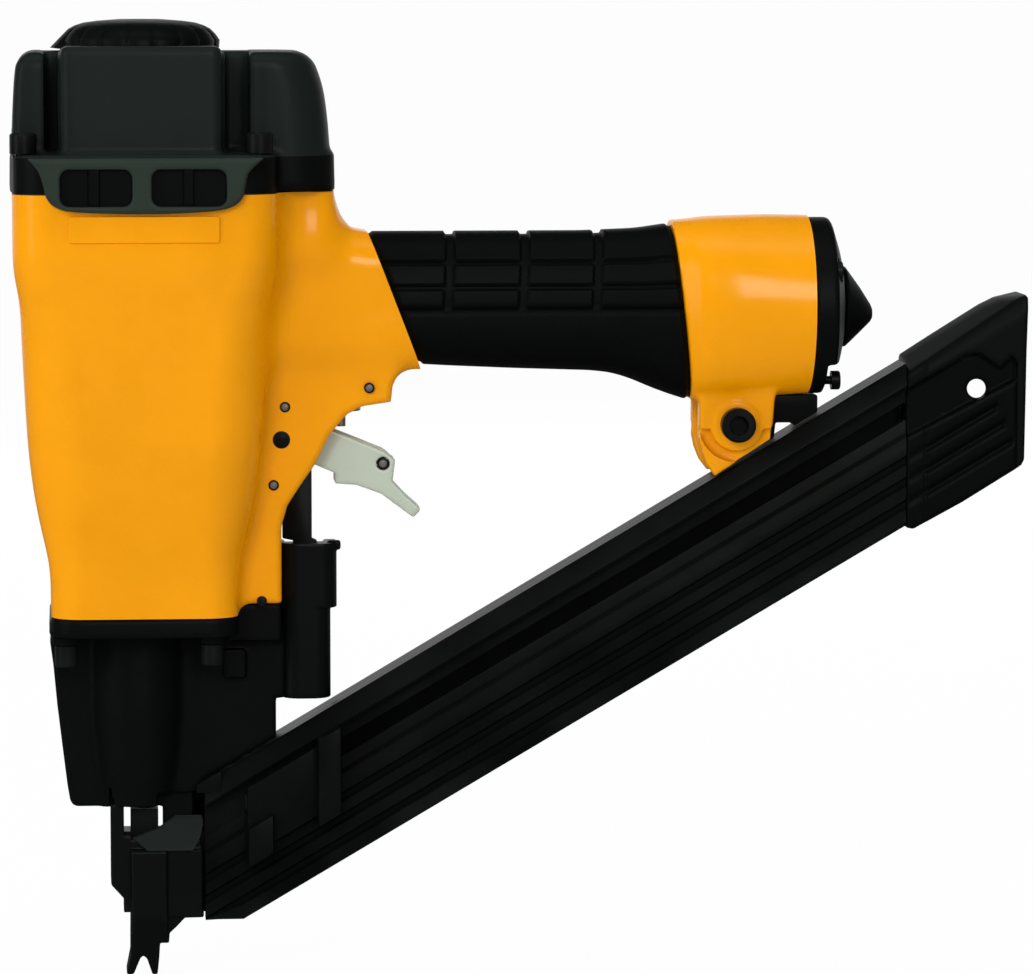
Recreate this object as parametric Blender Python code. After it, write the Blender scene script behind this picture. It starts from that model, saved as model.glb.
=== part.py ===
"""Pneumatic connector nailer, modelled as an assembly of separate pieces.

Sizes are millimetres in the tool frame: X runs from the drive axis along the handle, Y away from
the left side, Z up the drive axis from the tips of the contact fork. The tool frame hangs on one
empty, which puts the world origin at the middle of the hand grip.
"""
import math

import bmesh
import bpy
from mathutils import Matrix, Vector

MM = 0.001

# Fits
FIT = 0.3                 # gap between pieces that seat on or in each other
SLIDE = 0.4               # gap of a sliding or turning fit

# Barrel of the body
NOSE_BOTTOM = 63.8        # lower face of the nose housing over the fork tips
NOSE_LENGTH = 71.6
BARREL_LENGTH = 160.3
BARREL_FLOOR = 22.3       # thickness of the barrel's floor
NOSE_HALF = 35.3          # half width of the lower barrel
NECK_LENGTH = 20.3        # straight lower part of the barrel
FLARE_HALF = 40.7
FLARE_LENGTH = 23.0
WAIST_HALF = 45.0
WAIST_LENGTH = 38.0
SHOULDER_HALF = 47.5
SHOULDER_LENGTH = 38.0
HEAD_HALF = 50.0          # half width of the square head
HEAD_LENGTH = 30.0
HEAD_CORNER = 14.0
BARREL_CORNER = 20.0
NECK_CORNER = 12.0
TONGUE_REACH = 22.0       # reach of the head over the handle root
TONGUE_HALF = 24.0
TONGUE_DEPTH = 18.0
TONGUE_CORNER = 8.0
BORE_R = 30.0             # seat of the cylinder sleeve
AIR_GAP = 7.0             # air space round the top of the sleeve
BLADE_HOLE_R = 7.0

# Handle and grip
HANDLE_DROP = 43.0        # from the top of the barrel to the handle's axis
ROOT_LENGTH = 46.0        # from the head to the grip, at mid height
ROOT_HALF = 23.0
ROOT_RISE = 38.0
GRIP_LENGTH = 107.5
GRIP_SLANT_FRONT = 0.385
GRIP_SLANT_REAR = 0.11
GRIP_RISE = 29.0          # top of the grip over the handle's axis
GRIP_HEIGHT = 53.0
GRIP_FLARE = 10.0         # drop of the grip's lower edge towards its rear end
GRIP_FLARE_LENGTH = 34.0
GRIP_HALF = 20.5
GRIP_WALL = 3.5
GRIP_GROOVE = 4.2         # width of the grooves between the finger blocks
GRIP_GROOVE_DEPTH = 1.2
GRIP_BLOCK = 28.2         # pitch of the finger blocks along the grip
GRIP_FIRST_GROOVE = 19.0
GRIP_GROOVES = 3
HANDLE_BORE_R = 13.0
END_LENGTH = 51.5
END_R = 33.5

# Web between barrel and handle, which carries the trigger
WEB_HALF = 17.5
WEB_RISE = 4.5            # underside of the web over the barrel's bottom
WEB_EDGE = 52.0
SLOT_HALF = 8.0           # slot for the trigger in the web

# Trigger group
PIVOT_DROP = 48.6         # from the handle's axis down to the trigger pivot
PIVOT_R = 3.3
PIVOT_EYE_R = 5.6
PAWL_ARM = 38.7           # from the trigger pivot to the pawl pin
PAWL_DROP = 10.1
PAWL_PIN_R = 2.2
TRIGGER_WALL = 2.0
STEM_ARM = 23.0           # from the trigger pivot to the valve stem
STEM_R = 2.0
STEM_SHOW = 6.0           # stem below the valve body
STEM_LENGTH = 27.0
STEM_HEAD_R = 4.6
STEM_HEAD = 4.0
VALVE_RISE = 9.6          # valve body's lower end over the trigger pivot
VALVE_LENGTH = 32.0
VALVE_R = 7.7
VALVE_WALL = 2.4
VALVE_FLOOR = 4.0
VALVE_VENT_R = 1.0
ROLL_PIN_R = 2.0
ROLL_PINS = ((1.4, 12.3), (-3.0, -17.1), (33.0, 19.4))   # from the trigger pivot
WEB_FOOT = 33.0           # start of the web's arch below the trigger pivot
WEB_ARCH = ((2.3, -25.0), (7.3, -17.4), (12.6, -9.8), (18.3, 1.6), (24.8, 9.2), (30.5, 12.2), (41.9, 13.0),
            (42.6, 18.6), (45.7, 24.6))                  # from the trigger pivot
WEB_REACH = 40.0          # reach of the web at the handle's axis
TRIGGER_EDGE = ((18.7, 3.1), (39.2, -5.3), (43.4, -8.7), (42.2, -17.1), (52.7, -26.9), (50.2, -30.7),
                (47.2, -28.5), (38.0, -21.6), (28.6, -18.2), (20.6, -17.6), (20.6, -13.6),
                (13.4, -10.6))                           # from the trigger pivot
TRIGGER_HOLLOW = ((-9.0, -12.0), (14.5, -12.0), (22.6, -11.4), (22.6, -15.6), (28.8, -16.0), (37.2, -19.2),
                  (46.0, -16.5), (46.0, 12.0), (-9.0, 12.0))
SLOT_DEPTH = 6.5          # trigger slot in front of the pivot
SLOT_TOP = 8.6            # its roof over the pivot
SLOT_STEP = 8.4           # where its front wall starts to lean
SLOT_FALL = 36.4          # its lower end below the pivot
SLOT_REACH = 38.0

# Cylinder group
SLEEVE_WALL = 3.4
SLEEVE_LENGTH = 111.7
BUMPER_HEIGHT = 30.0
PISTON_HEIGHT = 18.0
RING_HEIGHT = 4.0
RING_DEPTH = 2.2
BLADE_R = 3.1
BLADE_LENGTH = 202.0
VALVE_DISC = 13.0
VALVE_DISC_OVERLAP = 3.0  # reach of the head valve past the sleeve
VALVE_HUB_R = 14.0
HEAD_LIFT = 6.0

# Cap, gasket and deflector
GASKET = 0.7
GASKET_INSET = 0.5
CAP_FLANGE = 15.0
CAP_HEIGHT = 53.0
CAP_AIR = 6.0             # air space in the underside of the cap
CAP_BORE = 21.0           # depth of the head valve's bore above it
CAP_BOX_HALF = 29.5
CAP_BOX_DEPTH = 47.0
CAP_BOX_CORNER = 6.0
CAP_SIDE_INSET = 4.0
CAP_SIDE_REACH = 60.0
CAP_SIDE_HALF = 34.0
CAP_SIDE_DROP = 4.0
CAP_BOLT_X = 43.5
CAP_BOLT_Y = 38.0
CAP_BOLT_R = 3.0
CAP_BOLT_HEAD_R = 5.0
CAP_BOLT_HEAD = 7.5
CAP_BOLT_GRIP = 20.0      # length of the bolt in the body
DEFLECTOR_R = 30.0
DEFLECTOR_HEIGHT = 11.7
DEFLECTOR_FLUTE = 1.0
DEFLECTOR_BOLT_R = 3.0
DEFLECTOR_BOLT_HEAD_R = 6.0
DEFLECTOR_BOLT_HEAD = 4.0
DEFLECTOR_BOLT_DEPTH = 16.0

# Side bumpers
PAD_THICKNESS = 3.7
PAD_RISE = 13.5           # above the top of the barrel
PAD_FALL = 8.0            # below it
PAD_HALF_TOP = 43.3
PAD_HALF_WAIST = 38.3
PAD_HALF_BOTTOM = 34.0
PAD_WINDOW_IN = 3.8
PAD_WINDOW_OUT = 31.0
PAD_FRAME = 4.3
PAD_WINDOW_CORNER = 3.5

# Rear end of the handle
END_CAP = 10.3
END_CAP_RIM = 2.5
END_CAP_TAPER = 4.12      # length of its tapered edge
SPIGOT = 8.0
SPIGOT_R = 24.0
BUSH_R = 11.0
BUSH_BORE_R = 7.3
BUSH_LENGTH = 16.0
PLUG_R = 15.2
PLUG_LENGTH = 11.4
PLUG_STEM = 8.0
END_SCREW_RING = 28.7
END_SCREW_R = 1.6
END_SCREW_HEAD_R = 3.6
END_SCREW_HEAD = 3.4
END_SCREW_GRIP = 8.0
END_SCREW_ANGLES = (30.0, 150.0, 270.0)

# Nose
FLANGE = 7.0
NOSE_LEFT_TOP = -34.5
NOSE_LEFT_BOTTOM = -27.8
NOSE_FIN_HALF = 8.0
NOSE_COLUMN_R = 18.5
NOSE_COLUMN_BOTTOM_R = 14.0
NOSE_COLUMN_X = -2.5
NOSE_PLATE_RIGHT = 50.0
NOSE_BOLT_LEFT = -29.0
NOSE_BOLT_RIGHT = 25.5
NOSE_BOLT_Y = 22.0
NOSE_BOLT_R = 2.5
NOSE_BOLT_HEAD_R = 4.3
NOSE_BOLT_HEAD = 8.0
NOSE_BOLT_GRIP = 8.0
DRIVE_R = 3.8             # channel of nail and driver blade
GUIDE_NECK_HALF = 5.2
GUIDE_LEFT = -8.0
GUIDE_HALF = 7.0
GUIDE_LENGTH = 39.5
GUIDE_NECK = 8.5
NAIL_SLOT_HALF = 4.5

# Contact group
CONTACT_TRAVEL = 8.0
FOOT_WALL = 3.6
FOOT_FRONT = 4.2
FOOT_CHAMFER = 9.0
TIP_HALF = 6.5
TIP_NOTCH = 7.6
TIP_NOTCH_HALF = 3.2
LINK = 2.5                # thickness of the link strip
LINK_WIDTH = 7.8
LINK_OVERLAP = 9.0        # length of the link on the foot's cheek
LINK_ARM = 10.0
GUARD_WIDTH = 18.2
GUARD_HALF = 9.0
GUARD_WALL = 1.6
GUARD_LENGTH = 59.0
GUARD_FALL = 35.0         # guard below the web's underside
GUARD_ROOF = 4.0
ROD_WIDTH = 9.0
ROD_HALF = 2.0
ROD_LENGTH = 74.5

# Magazine
MAG_CORNER_X = 37.2       # lower front corner of the magazine
MAG_CORNER_Z = 21.7
MAG_HEIGHT = 54.5
MAG_RUN = 263.3           # level length of the plates
MAG_FRONT = 26.0
MAG_HALF = 13.0
TOP_RAIL = 7.5
BOTTOM_RAIL = 5.0
RECESS_LOW = 29.0
RECESS_HIGH = 45.0
RECESS_DEPTH = 2.5
FEED_SLOT = 6.0
RIDGE_GROOVES = (7.0, 14.0, 21.0)
RIDGE_GROOVE = 1.6
RIDGE_DEPTH = 0.9
TAIL_LENGTH = 46.0
TAIL_FLAT = 10.0
TAIL_RISE = 3.0
TAIL_HALF = 16.0
TAIL_CORNER = 4.0
TAIL_HOLE_INSET = 19.5
TAIL_HOLE_R = 3.4
EAR_INNER = 8.0
EAR_WALL = 9.0
EAR_LENGTH = 31.0
EAR_SETBACK = 5.5
MAG_CLEARANCE = 2.34      # from the end cap's lower edge down to the magazine's top
HANGER_BOLT_SETBACK = 15.2
HANGER_BOLT_RISE = 13.8   # bolt over the magazine's top
HANGER_LENGTH = 44.0
HANGER_BOLT_R = 4.0
HANGER_BOLT_HEAD_R = 6.5
HANGER_BOLT_HEAD = 6.0
PUSHER_LENGTH = 34.0
PUSHER_PLATE = 3.2
PUSHER_KNOB = 9.0

# Springs: wire radius and coil radius, then turns
HEAD_SPRING = (1.1, 20.0)
HEAD_SPRING_TURNS = 4
CONTACT_SPRING = (0.7, 6.3)
CONTACT_SPRING_TURNS = 7
VALVE_SPRING = (0.5, 3.8)
VALVE_SPRING_TURNS = 4
TRIGGER_SPRING = (0.5, 4.6)
TRIGGER_SPRING_TURNS = 4
TRIGGER_SPRING_LENGTH = 8.0
POINTS_PER_CURL = 9

ROUND = 24           # sides of a large round piece
FINE = 16            # sides of a small round piece
CORNER_STEPS = 4
STEP = 0.01          # rise of a turned shoulder
WELD = 0.002         # points closer than this are one point


# Places worked out from the sizes
BARREL_BOTTOM = NOSE_BOTTOM + NOSE_LENGTH + FIT
BARREL_TOP = BARREL_BOTTOM + BARREL_LENGTH
FLOOR_TOP = BARREL_BOTTOM + BARREL_FLOOR
AIR_R = BORE_R + AIR_GAP
TONGUE_X = HEAD_HALF + TONGUE_REACH
HANDLE_Z = BARREL_TOP - HANDLE_DROP
GRIP_START = HEAD_HALF + ROOT_LENGTH
GRIP_END = GRIP_START + GRIP_LENGTH
GRIP_TOP = HANDLE_Z + GRIP_RISE
GRIP_BOTTOM = GRIP_TOP - GRIP_HEIGHT
END_X = GRIP_END + END_LENGTH
WEB_BOTTOM = BARREL_BOTTOM + WEB_RISE
PIVOT_X = WEB_EDGE
PIVOT_Z = HANDLE_Z - PIVOT_DROP
PAWL_X = PIVOT_X + PAWL_ARM
PAWL_Z = PIVOT_Z - PAWL_DROP
STEM_X = PIVOT_X + STEM_ARM
VALVE_BOTTOM = PIVOT_Z + VALVE_RISE
SLEEVE_BOTTOM = FLOOR_TOP + FIT
SLEEVE_TOP = SLEEVE_BOTTOM + SLEEVE_LENGTH
SLEEVE_R = BORE_R - FIT
SLEEVE_BORE_R = SLEEVE_R - SLEEVE_WALL
AIR_BOTTOM = SLEEVE_TOP - AIR_GAP
PISTON_TOP = SLEEVE_TOP - 2.0
PISTON_BOTTOM = PISTON_TOP - PISTON_HEIGHT
CAP_BOTTOM = BARREL_TOP + GASKET + 2.0 * FIT
CAP_FLANGE_TOP = CAP_BOTTOM + CAP_FLANGE
CAP_TOP = CAP_BOTTOM + CAP_HEIGHT
CAP_ROOF = CAP_BOTTOM + CAP_AIR
HEAD_VALVE_BOTTOM = SLEEVE_TOP + FIT
HEAD_VALVE_TOP = HEAD_VALVE_BOTTOM + VALVE_DISC
FLANGE_BOTTOM = BARREL_BOTTOM - FIT - FLANGE
GUIDE_TOP = NOSE_BOTTOM - FIT
GUIDE_BOTTOM = GUIDE_TOP - GUIDE_LENGTH
GUIDE_SHOULDER = GUIDE_TOP - GUIDE_NECK
GUIDE_RIGHT = MAG_FRONT - 2.5
FOOT_IN = GUIDE_HALF + FIT
FOOT_OUT = FOOT_IN + FOOT_WALL
FOOT_LEFT = GUIDE_LEFT - FIT - FOOT_FRONT
FOOT_RIGHT = MAG_FRONT - 4.0
FOOT_TOP = GUIDE_SHOULDER
TIP_TOP = GUIDE_BOTTOM - CONTACT_TRAVEL - 2.0
LINK_IN = FOOT_OUT + FIT
LINK_RIGHT = MAG_FRONT - 0.5
LINK_LEFT = LINK_RIGHT - LINK_WIDTH
GUARD_BOTTOM = WEB_BOTTOM - GUARD_FALL
GUARD_TOP = GUARD_BOTTOM + GUARD_LENGTH
GUARD_LEFT = WEB_EDGE + FIT
GUARD_X = GUARD_LEFT + GUARD_WIDTH / 2.0
LINK_ARM_LOW = GUARD_BOTTOM + 2.0
LINK_ARM_HIGH = LINK_ARM_LOW + LINK_ARM
EAR_LEFT = GRIP_END + EAR_SETBACK
EAR_RIGHT = EAR_LEFT + EAR_LENGTH
EAR_OUTER = EAR_INNER + EAR_WALL
HANGER_BOLT_X = EAR_LEFT + HANGER_BOLT_SETBACK
END_EDGE_X = END_X + FIT + END_CAP - END_CAP_TAPER
MAG_REACH = END_EDGE_X - MAG_CORNER_X
MAG_CLIMB = HANDLE_Z - END_R - MAG_CLEARANCE - MAG_CORNER_Z
MAG_ANGLE = (math.atan2(MAG_CLIMB, MAG_REACH)
             - math.asin(MAG_HEIGHT / math.hypot(MAG_REACH, MAG_CLIMB)))
MAG_REAR = MAG_FRONT + MAG_RUN
TAIL_RIGHT = MAG_REAR + FIT + TAIL_LENGTH
MAG_UNDER_BOLT = MAG_CORNER_Z + MAG_CLIMB - (END_EDGE_X - HANGER_BOLT_X) * math.tan(MAG_ANGLE)
HANGER_BOLT_Z = MAG_UNDER_BOLT + HANGER_BOLT_RISE
GRIP_X = GRIP_START + GRIP_LENGTH / 2.0
GRIP_Z = HANDLE_Z + 3.0

COLOURS = {
    "yellow_paint": ((0.90, 0.37, 0.005, 1.0), 0.35, 0.0),
    "black_casting": ((0.012, 0.012, 0.013, 1.0), 0.45, 0.0),
    "black_rubber": ((0.010, 0.010, 0.011, 1.0), 0.75, 0.0),
    "grey_rubber": ((0.022, 0.026, 0.026, 1.0), 0.65, 0.0),
    "bare_steel": ((0.55, 0.57, 0.55, 1.0), 0.35, 1.0),
    "black_steel": ((0.020, 0.020, 0.021, 1.0), 0.40, 0.8),
    "aluminium": ((0.60, 0.60, 0.60, 1.0), 0.40, 1.0),
    "seal_rubber": ((0.015, 0.015, 0.015, 1.0), 0.80, 0.0),
}


def clear_scene():
    """Remove every object of the open scene."""
    for item in list(bpy.data.objects):
        bpy.data.objects.remove(item, do_unlink=True)


def make_finishes():
    """One Principled material for each finish."""
    finishes = {}
    for name, (colour, roughness, metallic) in COLOURS.items():
        finish = bpy.data.materials.new(name)
        finish.use_nodes = True
        shader = finish.node_tree.nodes["Principled BSDF"]
        shader.inputs["Base Color"].default_value = colour
        shader.inputs["Roughness"].default_value = roughness
        shader.inputs["Metallic"].default_value = metallic
        finish.diffuse_color = colour
        finishes[name] = finish
    return finishes


def make_tool_frame():
    """The empty that carries every piece."""
    frame = bpy.data.objects.new("tool_frame", None)
    frame.location = (-GRIP_X * MM, 0.0, -GRIP_Z * MM)
    bpy.context.collection.objects.link(frame)
    return frame


clear_scene()
FINISHES = make_finishes()
TOOL = make_tool_frame()


def piece(name, shape, finish, pivot=(0.0, 0.0, 0.0)):
    """Make one named object of a shape; its origin is the pivot."""
    shape.transform(Matrix.Scale(MM, 4) @ Matrix.Translation(-Vector(pivot)))
    mesh = bpy.data.meshes.new(name)
    shape.to_mesh(mesh)
    shape.free()
    mesh.shade_smooth()
    mesh.set_sharp_from_angle(angle=math.radians(35.0))
    mesh.materials.append(FINISHES[finish])
    item = bpy.data.objects.new(name, mesh)
    item.location = Vector(pivot) * MM
    item.parent = TOOL
    bpy.context.collection.objects.link(item)
    return item


def loft(sections):
    """Closed skin through loops of points; all loops have the same count."""
    shape = bmesh.new()
    loops = [[shape.verts.new(point) for point in section] for section in sections]
    for low, high in zip(loops, loops[1:]):
        for here in range(len(low)):
            after = (here + 1) % len(low)
            shape.faces.new((low[here], low[after], high[after], high[here]))
    shape.faces.new(list(reversed(loops[0])))
    shape.faces.new(loops[-1])
    bmesh.ops.recalc_face_normals(shape, faces=shape.faces)
    if len(sections) > 2:
        bmesh.ops.triangulate(shape, faces=[face for face in shape.faces if len(face.verts) == 4])
    return shape


def turn_axes(a, b, along, axis):
    """Point of an outline (a, b) at a place along an axis."""
    if axis == "X":
        return (along, a, b)
    if axis == "Y":
        return (a, along, b)
    return (a, b, along)


def prism(outline, low, high, axis="Y"):
    """Outline pushed straight along an axis, from low to high."""
    return loft([[turn_axes(a, b, along, axis) for a, b in outline] for along in (low, high)])


def block(x, y, z):
    """Box between pairs of X, Y and Z."""
    outline = [(x[0], z[0]), (x[1], z[0]), (x[1], z[1]), (x[0], z[1])]
    return prism(outline, y[0], y[1])


def circle(radius, steps, centre=(0.0, 0.0)):
    """Points of a circle in an outline plane."""
    turns = [math.tau * step / steps for step in range(steps)]
    return [(centre[0] + radius * math.cos(t), centre[1] + radius * math.sin(t)) for t in turns]


def turned(profile, axis="Z", centre=(0.0, 0.0), steps=ROUND):
    """Solid turned piece: profile of (radius, place along the axis)."""
    return loft([[turn_axes(a, b, along, axis) for a, b in circle(radius, steps, centre)]
                 for radius, along in profile])


def rod(radius, low, high, axis="Z", centre=(0.0, 0.0), steps=FINE):
    """Plain round bar."""
    return turned([(radius, low), (radius, high)], axis, centre, steps)


def ring(profile, axis="Z", centre=(0.0, 0.0), steps=ROUND):
    """Turned piece with a hole: closed profile of (radius, place along the axis)."""
    shape = bmesh.new()
    loops = []
    for step in range(steps):
        turn = math.tau * step / steps
        loop = []
        for radius, along in profile:
            a = centre[0] + radius * math.cos(turn)
            b = centre[1] + radius * math.sin(turn)
            loop.append(shape.verts.new(turn_axes(a, b, along, axis)))
        loops.append(loop)
    for here, low in enumerate(loops):
        high = loops[(here + 1) % steps]
        for point in range(len(profile)):
            after = (point + 1) % len(profile)
            shape.faces.new((low[point], low[after], high[after], high[point]))
    bmesh.ops.recalc_face_normals(shape, faces=shape.faces)
    return shape


def rounded(corners, steps=CORNER_STEPS):
    """Outline with its corners (a, b, radius) rounded; a radius of 0 stays sharp."""
    points = []
    count = len(corners)
    for place, (a, b, radius) in enumerate(corners):
        here = Vector((a, b))
        if radius == 0:
            points.append((a, b))
            continue
        back = (Vector(corners[place - 1][:2]) - here).normalized()
        ahead = (Vector(corners[(place + 1) % count][:2]) - here).normalized()
        half = back.angle(ahead) / 2.0
        centre = here + (back + ahead).normalized() * radius / math.sin(half)
        start = here + back * radius / math.tan(half) - centre
        sweep = start.angle_signed(here + ahead * radius / math.tan(half) - centre)
        for step in range(steps + 1):
            turn = Matrix.Rotation(-sweep * step / steps, 2)
            points.append(tuple(centre + turn @ start))
    return points


def combine(base, other, operation):
    """Boolean of two shapes; both are used up."""
    bodies = []
    for shape in (base, other):
        mesh = bpy.data.meshes.new("body")
        shape.to_mesh(mesh)
        shape.free()
        item = bpy.data.objects.new("body", mesh)
        bpy.context.collection.objects.link(item)
        bodies.append(item)
    modifier = bodies[0].modifiers.new("combine", "BOOLEAN")
    modifier.operation = operation
    modifier.object = bodies[1]
    result = bmesh.new()
    result.from_object(bodies[0], bpy.context.evaluated_depsgraph_get())
    for item in bodies:
        mesh = item.data
        bpy.data.objects.remove(item)
        bpy.data.meshes.remove(mesh)
    bmesh.ops.remove_doubles(result, verts=result.verts, dist=WELD)
    bmesh.ops.dissolve_degenerate(result, edges=result.edges, dist=WELD)
    return result


def joined(base, *others):
    """Union of shapes."""
    for other in others:
        base = combine(base, other, "UNION")
    return base


def cut(base, *cutters):
    """Base with the cutters taken away."""
    for cutter in cutters:
        base = combine(base, cutter, "DIFFERENCE")
    return base


def coil(name, spring, turns, start, length, axis="Z"):
    """Spring wound as one tube from start along an axis; prints its least gap to itself."""
    wire, radius = spring
    count = turns * POINTS_PER_CURL + 1
    path = []
    for step in range(count):
        turn = math.tau * step / POINTS_PER_CURL
        along = length * step / (count - 1)
        offset = turn_axes(radius * math.cos(turn), radius * math.sin(turn), along, axis)
        path.append(Vector(start) + Vector(offset))
    gap = min((path[b] - path[a]).length - 2.0 * wire
              for a in range(count) for b in range(a + POINTS_PER_CURL // 2, count))
    print(f"{name}: least gap to itself {gap:.2f} mm")
    curve = bpy.data.curves.new(name, "CURVE")
    curve.dimensions = "3D"
    curve.bevel_depth = wire * MM
    curve.bevel_resolution = 1
    curve.use_fill_caps = True
    spline = curve.splines.new("POLY")
    spline.points.add(count - 1)
    for point, place in zip(spline.points, path):
        point.co = (*((place - Vector(start)) * MM), 1.0)
    curve.materials.append(FINISHES["bare_steel"])
    item = bpy.data.objects.new(name, curve)
    item.location = Vector(start) * MM
    item.parent = TOOL
    bpy.context.collection.objects.link(item)
    return item


def mag_z(x, rise):
    """Height of a line along the magazine, rise being square to its lower edge."""
    return MAG_CORNER_Z + (x - MAG_CORNER_X) * math.tan(MAG_ANGLE) + rise / math.cos(MAG_ANGLE)


def mag_top(x):
    """Height of the magazine's top edge."""
    return mag_z(x, MAG_HEIGHT)


def square_loop(z, half, corner):
    """Rounded square round the drive axis."""
    corners = [(-half, -half, corner), (half, -half, corner), (half, half, corner), (-half, half, corner)]
    return [(x, y, z) for x, y in rounded(corners)]


def head_outline(inset=0.0):
    """Plan of the head: a rounded square with a tongue over the handle root."""
    half = HEAD_HALF - inset
    tongue = TONGUE_HALF - inset
    reach = TONGUE_X - inset
    corners = [(-half, -half, HEAD_CORNER), (half, -half, HEAD_CORNER), (half, -tongue, 4.0),
               (reach, -tongue, TONGUE_CORNER), (reach, tongue, TONGUE_CORNER), (half, tongue, 4.0),
               (half, half, HEAD_CORNER), (-half, half, HEAD_CORNER)]
    return rounded(corners)


def tongue_outline():
    """Plan of the tongue alone, reaching well into the barrel."""
    root = HEAD_HALF / 2.0
    return rounded([(root, -TONGUE_HALF, 0), (TONGUE_X, -TONGUE_HALF, TONGUE_CORNER),
                    (TONGUE_X, TONGUE_HALF, TONGUE_CORNER), (root, TONGUE_HALF, 0)])


def oval(x, top, bottom, half, slant=0.0, power=2.6):
    """Handle section: a full oval, leaning along X by its slant."""
    middle = (top + bottom) / 2.0
    tall = (top - bottom) / 2.0
    points = []
    for step in range(ROUND):
        turn = math.tau * step / ROUND
        y = half * math.copysign(abs(math.cos(turn)) ** (2.0 / power), math.cos(turn))
        z = tall * math.copysign(abs(math.sin(turn)) ** (2.0 / power), math.sin(turn))
        points.append((x - slant * (middle + z - HANDLE_Z), y, middle + z))
    return points


def grip_core(gap):
    """The handle inside the grip sleeve, grown by a gap."""
    top = GRIP_TOP - GRIP_WALL + gap
    bottom = GRIP_BOTTOM + GRIP_WALL - gap
    half = GRIP_HALF - GRIP_WALL + gap
    return (oval(GRIP_START - gap, top, bottom, half, GRIP_SLANT_FRONT),
            oval(GRIP_END + gap, top, bottom, half, GRIP_SLANT_REAR))


def handle_shape():
    """Handle from the barrel to its round rear end."""
    front, rear = grip_core(0.0)
    middle = GRIP_END + END_LENGTH / 4.0
    return loft([
        oval(HEAD_HALF / 2.0, HANDLE_Z + ROOT_RISE, GRIP_BOTTOM, ROOT_HALF),
        oval(TONGUE_X - 6.0, HANDLE_Z + ROOT_RISE, GRIP_BOTTOM, ROOT_HALF),
        oval(GRIP_START - 12.0, GRIP_TOP + 0.5, GRIP_BOTTOM, (ROOT_HALF + GRIP_HALF) / 2.0,
             GRIP_SLANT_FRONT / 3.0),
        oval(GRIP_START, GRIP_TOP, GRIP_BOTTOM, GRIP_HALF, GRIP_SLANT_FRONT),
        front,
        rear,
        oval(GRIP_END, GRIP_TOP + 2.0, GRIP_BOTTOM - GRIP_FLARE, GRIP_HALF + 2.5, GRIP_SLANT_REAR),
        oval(middle, GRIP_TOP + 3.5, HANDLE_Z - END_R, GRIP_HALF + 7.0, GRIP_SLANT_REAR / 2.0, 2.3),
        oval(END_X - 14.0, HANDLE_Z + END_R, HANDLE_Z - END_R, END_R - 1.0, 0.0, 2.1),
        oval(END_X, HANDLE_Z + END_R, HANDLE_Z - END_R, END_R, 0.0, 2.0),
    ])


def from_pivot(points):
    """Points given from the trigger pivot, as X and Z."""
    return [(PIVOT_X + x, PIVOT_Z + z) for x, z in points]


def web_outline():
    """Side view of the web: trigger arch under the handle root."""
    foot = [(HEAD_HALF / 2.0, WEB_BOTTOM), (WEB_EDGE, WEB_BOTTOM), (WEB_EDGE, PIVOT_Z - WEB_FOOT)]
    return foot + from_pivot(WEB_ARCH) + [(PIVOT_X + WEB_REACH, HANDLE_Z), (HEAD_HALF / 2.0, HANDLE_Z)]


def slot_outline():
    """Side view of the trigger slot in the web."""
    return from_pivot([(-SLOT_DEPTH, SLOT_TOP), (-SLOT_DEPTH, -SLOT_STEP),
                       (WEB_EDGE - PIVOT_X - 2.0, -SLOT_FALL), (SLOT_REACH, -SLOT_FALL),
                       (SLOT_REACH, SLOT_TOP)])


def ear_outline():
    """Side view of a hanger ear, from the handle's end down to the magazine."""
    return [(EAR_LEFT, HANDLE_Z - END_R + 6.0), (EAR_LEFT, HANGER_BOLT_Z - 6.0),
            (EAR_LEFT + 4.0, HANGER_BOLT_Z - 12.0), (EAR_LEFT + 7.0, mag_top(EAR_LEFT + 7.0) + FIT),
            (EAR_RIGHT, mag_top(EAR_RIGHT) + FIT), (EAR_RIGHT + 3.0, HANDLE_Z - END_R + 6.0)]


def cap_bolt_places():
    """Centres of the four cap bolts."""
    return [(side_x * CAP_BOLT_X, side_y * CAP_BOLT_Y) for side_y in (-1, 1) for side_x in (-1, 1)]


def nose_bolt_places():
    """Centres of the four nose bolts."""
    return [(x, side * NOSE_BOLT_Y) for side in (-1, 1) for x in (NOSE_BOLT_LEFT, NOSE_BOLT_RIGHT)]


def end_screw_places():
    """Centres of the end cap screws, as Y and Z."""
    turns = [math.radians(angle) for angle in END_SCREW_ANGLES]
    return [(END_SCREW_RING * math.cos(t), HANDLE_Z + END_SCREW_RING * math.sin(t)) for t in turns]


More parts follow.
